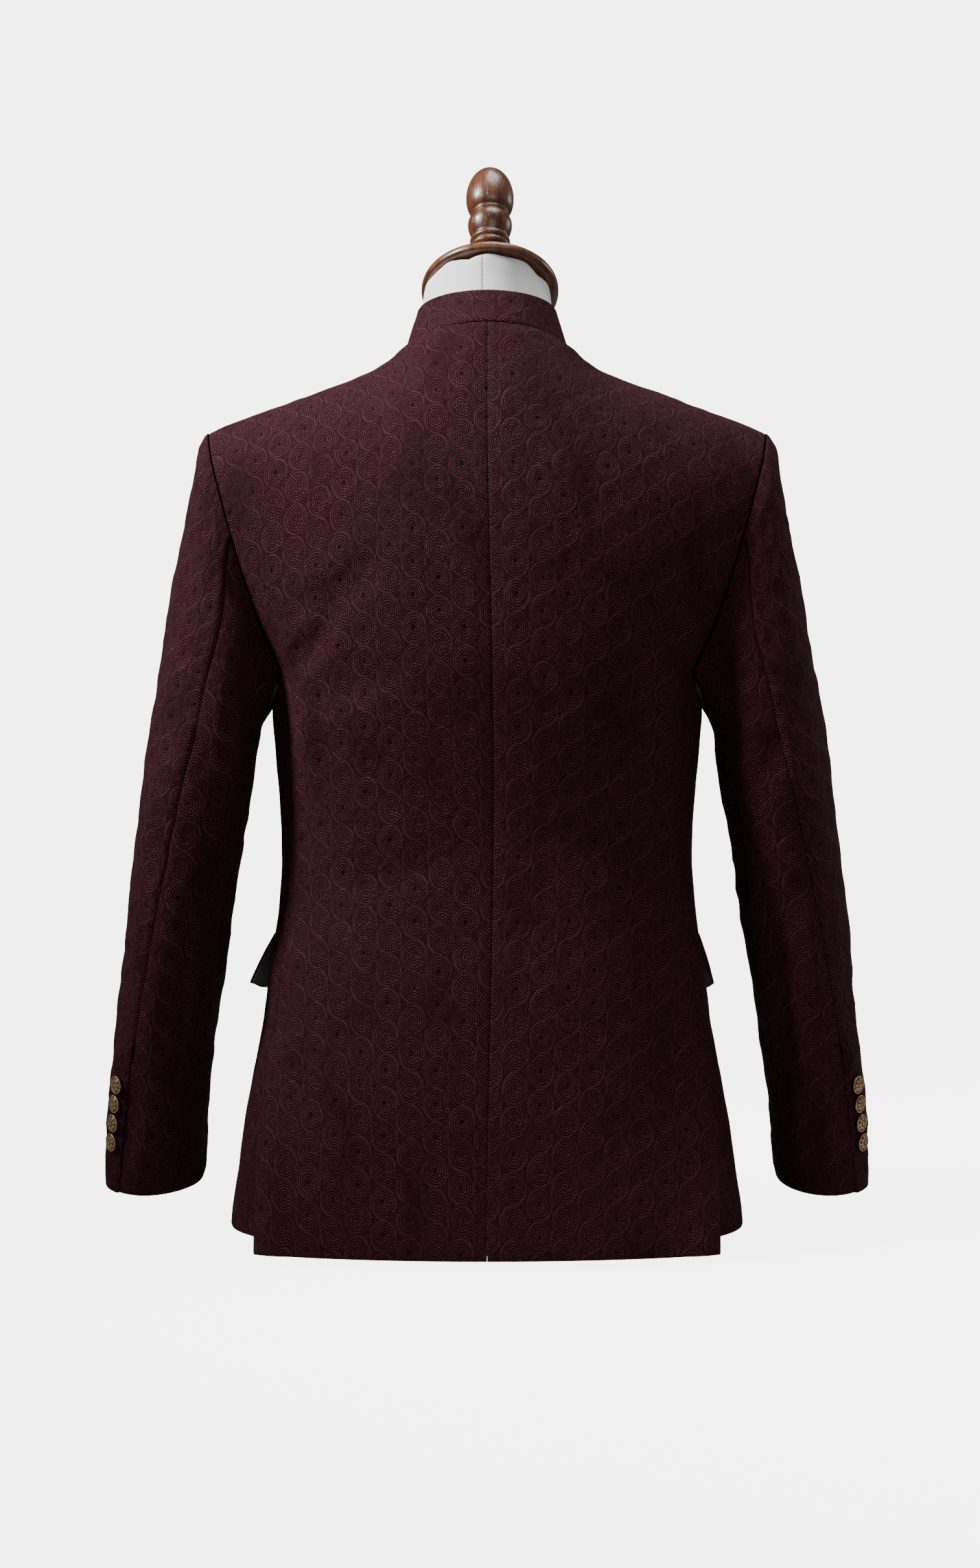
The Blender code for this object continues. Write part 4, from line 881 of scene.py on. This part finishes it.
def sleevePiece(top, side, word):
    levels = np.concatenate([steps(0.0, 1.0, 0.018, 0.012)[:-4],
                             steps(1.0, 1.0 + armTop - cuffZ, 0.0048, 0.004)[4:]])
    share = steps(0.0, 1.0, 0.018 if top else 0.026, 0.016)
    part, level = np.meshgrid(share, levels)
    elbow, fore = seamTurns(level)
    z = armTop - (level - 1.0)
    gap = 0.15 * seam / armHalf(np.minimum(z, armTop))
    onVent = (level > 1.0) & (z < sleeves["ventTop"])
    if top:
        low, high = fore - 2 * math.pi + gap, elbow - gap
    else:
        under = sleeves["underlap"] * np.where(level > 1.0, 1 - ease(z, 0.149, 0.156), 0.0)
        low, high = elbow + gap - under, fore - gap
    turn = low + (high - low) * part
    grid = sleevePoint(turn, level)
    normal = outwards(grid)
    if top:
        near = ease(turn, high - math.radians(48.0), high - math.radians(21.0))
        above = np.where(level > 1.0, ease(z, 0.156, 0.176), 1.0)
        grid = grid + normal * (lift * near * (1 - above))[..., None]
    across, last, down, cuffEdge = edgeDistances(grid)
    middle = int(len(share) * 0.5)
    axis = unit(np.array([armRows[0][i] - armRows[-1][i] for i in (1, 2, 0)]))
    foot = np.array([armRows[-1][i] for i in (1, 2, 0)])
    v = (grid - foot) @ axis
    girth = armRing(np.linspace(-math.pi, 2 * math.pi, 271), 0.30)
    bearings, lengths = aroundAxis(girth[None], foot, axis)[0], along(girth[None], 1)[0]
    run = np.interp(aroundAxis(grid, foot, axis), bearings, lengths)
    u = (run - run[-1:, middle:middle + 1]) * side + (0.0 if top else 0.009)
    uv = np.stack([u, v], axis=-1)
    elbowEdge, foreEdge = (last, across) if top else (across, last)
    sewn, opened = partly(elbowEdge, onVent)
    degrees, scale = np.degrees(turn), sleeves["perDegree"]
    table = [(a * scale, b, c * scale, *rest) for a, b, c, *rest in sleeves["creases"][word]]
    fall = creases(degrees * scale, z, table) + creases((degrees + 360.0) * scale, z, table)
    fall = fall * np.where(level > 1.0, 1.0, ease(level, 0.2, 1.0))
    bulge = bell(degrees, sleeves["bulgeTurn"], sleeves["bulgeWidth"])
    fall = fall + sleeves["backBulge"] * bulge * ease(level, 0.05, 0.6) * ease(z, 0.26, 0.38)
    if side > 0:
        fall = fall + sleeves["cuffWidening"] * bell(degrees, 180.0, 40.0) * (1 - ease(z, 0.05, 0.17))
    # a ridge beside the elbow seam, and one below the armhole seam at the back
    ridge = bell(elbowEdge, 0.0045, 0.0028) * np.where(onVent, 0.0, 1.0)
    fall = fall + (0.0011 if top else 0.0004) * ridge
    fall = fall + 0.0012 * bell(down, 0.012, 0.010) * ease(np.cos(turn), -0.2, 0.6)
    name, node = ("topSleeve", "top_sleeve_") if top else ("underSleeve", "under_sleeve_")
    seams, free = [foreEdge, sewn, down], [cuffEdge, opened]
    finishSheet(name + word.capitalize(), grid, False, side, uv, seams, free, fall,
                cuffEdge > sleeves["cuffFold"], node + word, sleeves["pull"])


for side, word in sideWords:
    bodyPanel(False, side, word)
    sidePanel(side, word)
    sleevePiece(True, side, word)
    sleevePiece(False, side, word)
bodyPanel(True, -1, "right")
bodyPanel(True, 1, "left")
print("coat panels ready")

# collar and pocket flaps
collar = {"topHalf": 0.0564, "topY": -0.0185, "topBackY": 0.0412, "topFrontY": -0.0795, "topZ": 0.774,
          "backRise": 0.0056, "frontDrop": 0.043, "inset": 0.0022, "rise": 0.0029, "frontRise": 0.0016}


def collarPoint(turn, t):
    direction, frontward = np.cos(turn), np.cos(turn) < 0
    share = neckShare * (1 - np.abs(1 - np.mod(turn / (0.5 * math.pi), 2.0)))
    base = np.where(frontward[..., None], topLine(share, True), topLine(share, False))
    x = np.copysign(base[..., 0], np.sin(turn)) * (1 - collar["inset"] / neckPoint[0])
    y = base[..., 1] - np.where(frontward, 0.0, 0.0002 * direction)
    z = base[..., 2] + collar["rise"] + np.where(frontward, -collar["frontRise"] * direction, 0.0)
    base = stack(x, y, z)
    backY = collar["topY"] + (collar["topBackY"] - collar["topY"]) * direction
    frontY = collar["topY"] + (collar["topY"] - collar["topFrontY"]) * direction
    topZ = np.where(frontward, -collar["frontDrop"] * np.abs(direction) ** 1.3,
                    collar["backRise"] * direction)
    top = stack(collar["topHalf"] * np.sin(turn), np.where(frontward, frontY, backY), collar["topZ"] + topZ)
    return base + (top - base) * t[..., None]


def collarBand():
    end = math.pi - math.radians(0.4)
    turns = steps(-end, end, math.radians(2.2), math.radians(2.0))
    turn, t = np.meshgrid(turns, steps(-0.066, 1.0, 0.09, 0.07))
    grid = collarPoint(turn, t)
    across, last, up, topRow = edgeDistances(grid)
    middle = len(turns) // 2
    uv = np.stack([across - across[:, middle:middle + 1], 0.79 + up], axis=-1)
    finishSheet("collarBand", grid, False, 1, uv, [up], [across, last, topRow], 0.0 * t, up < 0.030,
                "collar", pull=0.6)


collarBand()

flap = {"top": 0.252, "bottom": 0.203, "back": math.radians(97.0), "front": math.radians(141.0),
        "stand": 0.0022, "clear": 0.0014, "flare": {"left": 0.013, "right": 0.004}, "corner": 0.005}


def pocketFlap(side, word):
    t, drop = np.meshgrid(steps(0.0, 1.0, 0.03, 0.022), steps(0.0, 1.0, 0.08, 0.06))
    angle = flap["back"] + (flap["front"] - flap["back"]) * t
    z = flap["top"] + (flap["bottom"] - flap["top"]) * drop
    grid = bodyRing(angle, z)
    normal = outwards(grid, True)
    stand = lift + flap["clear"] + flap["stand"] * drop + flap["flare"][word] * (1 - t) ** 2 * drop
    corner = flap["corner"] * drop * (bell(t, 0.0, 0.10) + bell(t, 1.0, 0.10))
    grid = grid + normal * stand[..., None] + stack(0.0, 0.0, corner)
    across, last, down, foot = edgeDistances(grid)
    uv = np.stack([side * (across + 0.29), z], axis=-1)
    ending = word.capitalize()
    finishSheet("pocketFlap" + ending, grid, True, side, uv, [down], [across, last, foot], 0.0 * t, drop > -1,
                "pocket_flap_" + word, pull=0.5)


for side, word in sideWords:
    pocketFlap(side, word)
print("collar and flaps ready")


def turnedPiece(name, profile, segments, closeTop):
    # a circle extruded ring by ring, as radius and height, and filled at its foot
    bpy.ops.object.select_all(action="DESELECT")
    bpy.ops.mesh.primitive_circle_add(vertices=segments, radius=profile[0][0], fill_type="NGON")
    piece = bpy.context.object
    piece.name = piece.data.name = name
    bpy.ops.object.mode_set(mode="EDIT")
    bpy.ops.mesh.select_all(action="SELECT")
    bpy.ops.transform.translate(value=(0, 0, profile[0][1]))
    radius, height = profile[0]
    for nextRadius, nextHeight in profile[1:]:
        if nextHeight == height and nextRadius < radius:
            bpy.ops.mesh.inset(thickness=radius - nextRadius)
        else:
            bpy.ops.mesh.extrude_region_move(TRANSFORM_OT_translate={"value": (0, 0, nextHeight - height)})
            scale = nextRadius / radius
            bpy.ops.transform.resize(value=(scale, scale, 1))
        radius, height = nextRadius, nextHeight
    if closeTop:
        bpy.ops.mesh.poke()
    bpy.ops.mesh.select_all(action="SELECT")
    bpy.ops.mesh.normals_make_consistent(inside=False)
    bpy.ops.object.mode_set(mode="OBJECT")
    return piece


def smoothed(piece, levels):
    rounding = piece.modifiers.new("rounding", "SUBSURF")
    rounding.levels = rounding.render_levels = levels
    bpy.context.view_layer.objects.active = piece
    bpy.ops.object.modifier_apply(modifier="rounding")
    piece.data.shade_smooth()


def placed(piece, matrix):
    piece.data.transform(matrix)
    piece.data.update()


def rideAs(piece, material, node):
    piece.data.materials.clear()
    piece.data.materials.append(material)
    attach(piece, "root")
    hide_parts(node)


def capMatrix(radiusX, radiusY):
    tilted = Matrix.Translation(capPlace["centre"]) @ Matrix.Rotation(capPlace["tilt"], 4, "X")
    return tilted @ Matrix.Diagonal((radiusX, radiusY, 1.0, 1.0))


# radius as a share of the cap's, height along its axis
capProfile = [
    (0.930, 0.0000), (0.985, 0.0002), (1.000, 0.0013), (1.003, 0.0036), (1.000, 0.0060), (0.985, 0.0072),
    (0.950, 0.0079), (0.938, 0.0082), (0.925, 0.0087), (0.780, 0.0100), (0.620, 0.0112), (0.470, 0.0132),
    (0.430, 0.0142)]
cap = turnedPiece("neckCap", capProfile, 64, False)
placed(cap, capMatrix(capPlace["radiusX"], capPlace["radiusY"]))
smoothed(cap, 1)
rideAs(cap, walnutMaterial, "neck_cap")

finialProfile = [
    (0.0205, 0.0143), (0.0222, 0.0147), (0.0232, 0.0160), (0.0234, 0.0176), (0.0226, 0.0194),
    (0.0208, 0.0212), (0.0196, 0.0216), (0.0190, 0.0226), (0.0166, 0.0252), (0.0146, 0.0284),
    (0.0131, 0.0325), (0.0127, 0.0365), (0.0131, 0.0410), (0.0140, 0.0442), (0.0150, 0.0456),
    (0.0166, 0.0462), (0.0175, 0.0476), (0.0176, 0.0494), (0.0168, 0.0510), (0.0154, 0.0516),
    (0.0152, 0.0526), (0.0164, 0.0534), (0.0173, 0.0548), (0.0174, 0.0562), (0.0166, 0.0577),
    (0.0150, 0.0586), (0.0148, 0.0600), (0.0163, 0.0622), (0.0180, 0.0662), (0.0190, 0.0702),
    (0.0191, 0.0735), (0.0186, 0.0770), (0.0172, 0.0798), (0.0160, 0.0808), (0.0158, 0.0815),
    (0.0166, 0.0822), (0.0168, 0.0834), (0.0164, 0.0845), (0.0156, 0.0849), (0.0157, 0.0857)]
knob = {"middle": 0.1010, "radius": 0.0208, "top": 0.1318, "foot": 0.0150, "footHeight": 0.0857}
for i in range(1, 13):
    share = i / 13
    height = knob["footHeight"] + (knob["top"] - knob["footHeight"]) * (0.5 - 0.5 * math.cos(math.pi * share))
    if height < knob["middle"]:
        rise = (knob["middle"] - height) / (knob["middle"] - knob["footHeight"])
        radius = knob["foot"] + (knob["radius"] - knob["foot"]) * math.sqrt(1 - rise * rise)
    else:
        rise = (height - knob["middle"]) / (knob["top"] - knob["middle"])
        radius = knob["radius"] * math.sqrt(1 - rise * rise)
    finialProfile.append((radius, height))
finialProfile.append((0.0012, knob["top"]))
finial = turnedPiece("turnedFinial", finialProfile, 40, True)
smoothed(finial, 1)
placed(finial, capMatrix(1.0, 1.0))
rideAs(finial, walnutMaterial, "finial")
print("cap and finial ready")

# buttons, with the profile in radii
button = {"cuffRadius": 0.0075, "frontRadius": 0.0100, "segments": 48}
buttonProfile = [
    (0.30, 0.000), (0.30, 0.130), (0.62, 0.145), (0.86, 0.175), (0.96, 0.215), (1.000, 0.270),
    (1.000, 0.340), (0.985, 0.395), (0.940, 0.425), (0.885, 0.415), (0.850, 0.380), (0.825, 0.372),
    (0.800, 0.392), (0.740, 0.430), (0.650, 0.472), (0.540, 0.508), (0.430, 0.532), (0.330, 0.546),
    (0.250, 0.556), (0.180, 0.575), (0.110, 0.585), (0.050, 0.588)]


def modelButton():
    # a domed metal button with a milled rim and an eight-petalled relief
    piece = turnedPiece("buttonModel", buttonProfile, button["segments"], True)
    mesh = piece.data
    relief = mesh.attributes.new("relief", "FLOAT", "POINT")
    for vertex in mesh.vertices:
        x, y, z = vertex.co
        radius, turn = math.hypot(x, y), math.atan2(y, x)
        petal = 0.5 + 0.5 * math.cos(8 * turn)
        onDome = math.exp(-((radius - 0.52) / 0.20) ** 2)
        rim = math.exp(-((radius - 0.94) / 0.06) ** 2) if z > 0.3 else 0.0
        mill = 0.5 + 0.5 * math.cos(24 * turn)
        boss = math.exp(-(radius / 0.16) ** 2)
        if z > 0.3:
            vertex.co.z += 0.055 * petal * onDome + 0.022 * mill * rim
        value = 0.30 + 0.55 * petal * onDome + 0.55 * rim * (0.5 + 0.5 * mill) + 0.5 * boss
        relief.data[vertex.index].value = min(value, 1.0) if z > 0.2 else 0.15
    mesh.shade_smooth()
    return piece


def placeButton(model, name, node, radius, outward):
    # each button sits where its solid sits: the foot's middle and the axis come from the node
    points = np.array([vertex.co[:] for vertex in nodes[node].data.vertices])
    middle = points.mean(axis=0)
    axis = np.linalg.eigh(np.cov((points - middle).T))[1][:, 0]
    axis = axis if axis @ np.array(outward) > 0 else -axis
    foot = middle + axis * ((points @ axis).min() - middle @ axis)
    piece = model.copy()
    piece.data = model.data.copy()
    piece.name = piece.data.name = name
    bpy.context.scene.collection.objects.link(piece)
    turn = Vector(axis).to_track_quat("Z", "Y").to_matrix().to_4x4()
    spin = Matrix.Rotation(0.7 * len(name) + radius * 400 + foot[2] * 90, 4, "Z")
    size = Matrix.Diagonal((radius, radius, radius, 1.0))
    placed(piece, Matrix.Translation(Vector(foot)) @ turn @ spin @ size)
    rideAs(piece, goldMaterial, node)


model = modelButton()
for side, word in sideWords:
    for i in range(1, 5):
        placeButton(model, f"cuffButton{word.capitalize()}{i}", f"cuff_button_{word}_{i}",
                    button["cuffRadius"], (side * 0.4, 1.0, 0.0))
for i in range(1, 7):
    placeButton(model, f"frontButton{i}", f"front_button_{i}", button["frontRadius"], (0.0, -1.0, 0.0))
bpy.data.objects.remove(model)
print("buttons ready")

# dress form: the solid's own cover, made smooth
bpy.ops.object.select_all(action="DESELECT")
form = nodes["dress_form"].copy()
form.data = nodes["dress_form"].data.copy()
form.name = form.data.name = "dressForm"
bpy.context.scene.collection.objects.link(form)
form.parent = None
bpy.context.view_layer.objects.active = form
form.select_set(True)
bpy.ops.object.mode_set(mode="EDIT")
bpy.ops.mesh.select_all(action="SELECT")
bpy.ops.mesh.remove_doubles(threshold=0.00002)
bpy.ops.mesh.tris_convert_to_quads(face_threshold=math.radians(50), shape_threshold=math.radians(60))
bpy.ops.object.mode_set(mode="OBJECT")
smoothed(form, 2)
rideAs(form, linenMaterial, "dress_form")
print("dress form ready")

print("finished pieces")
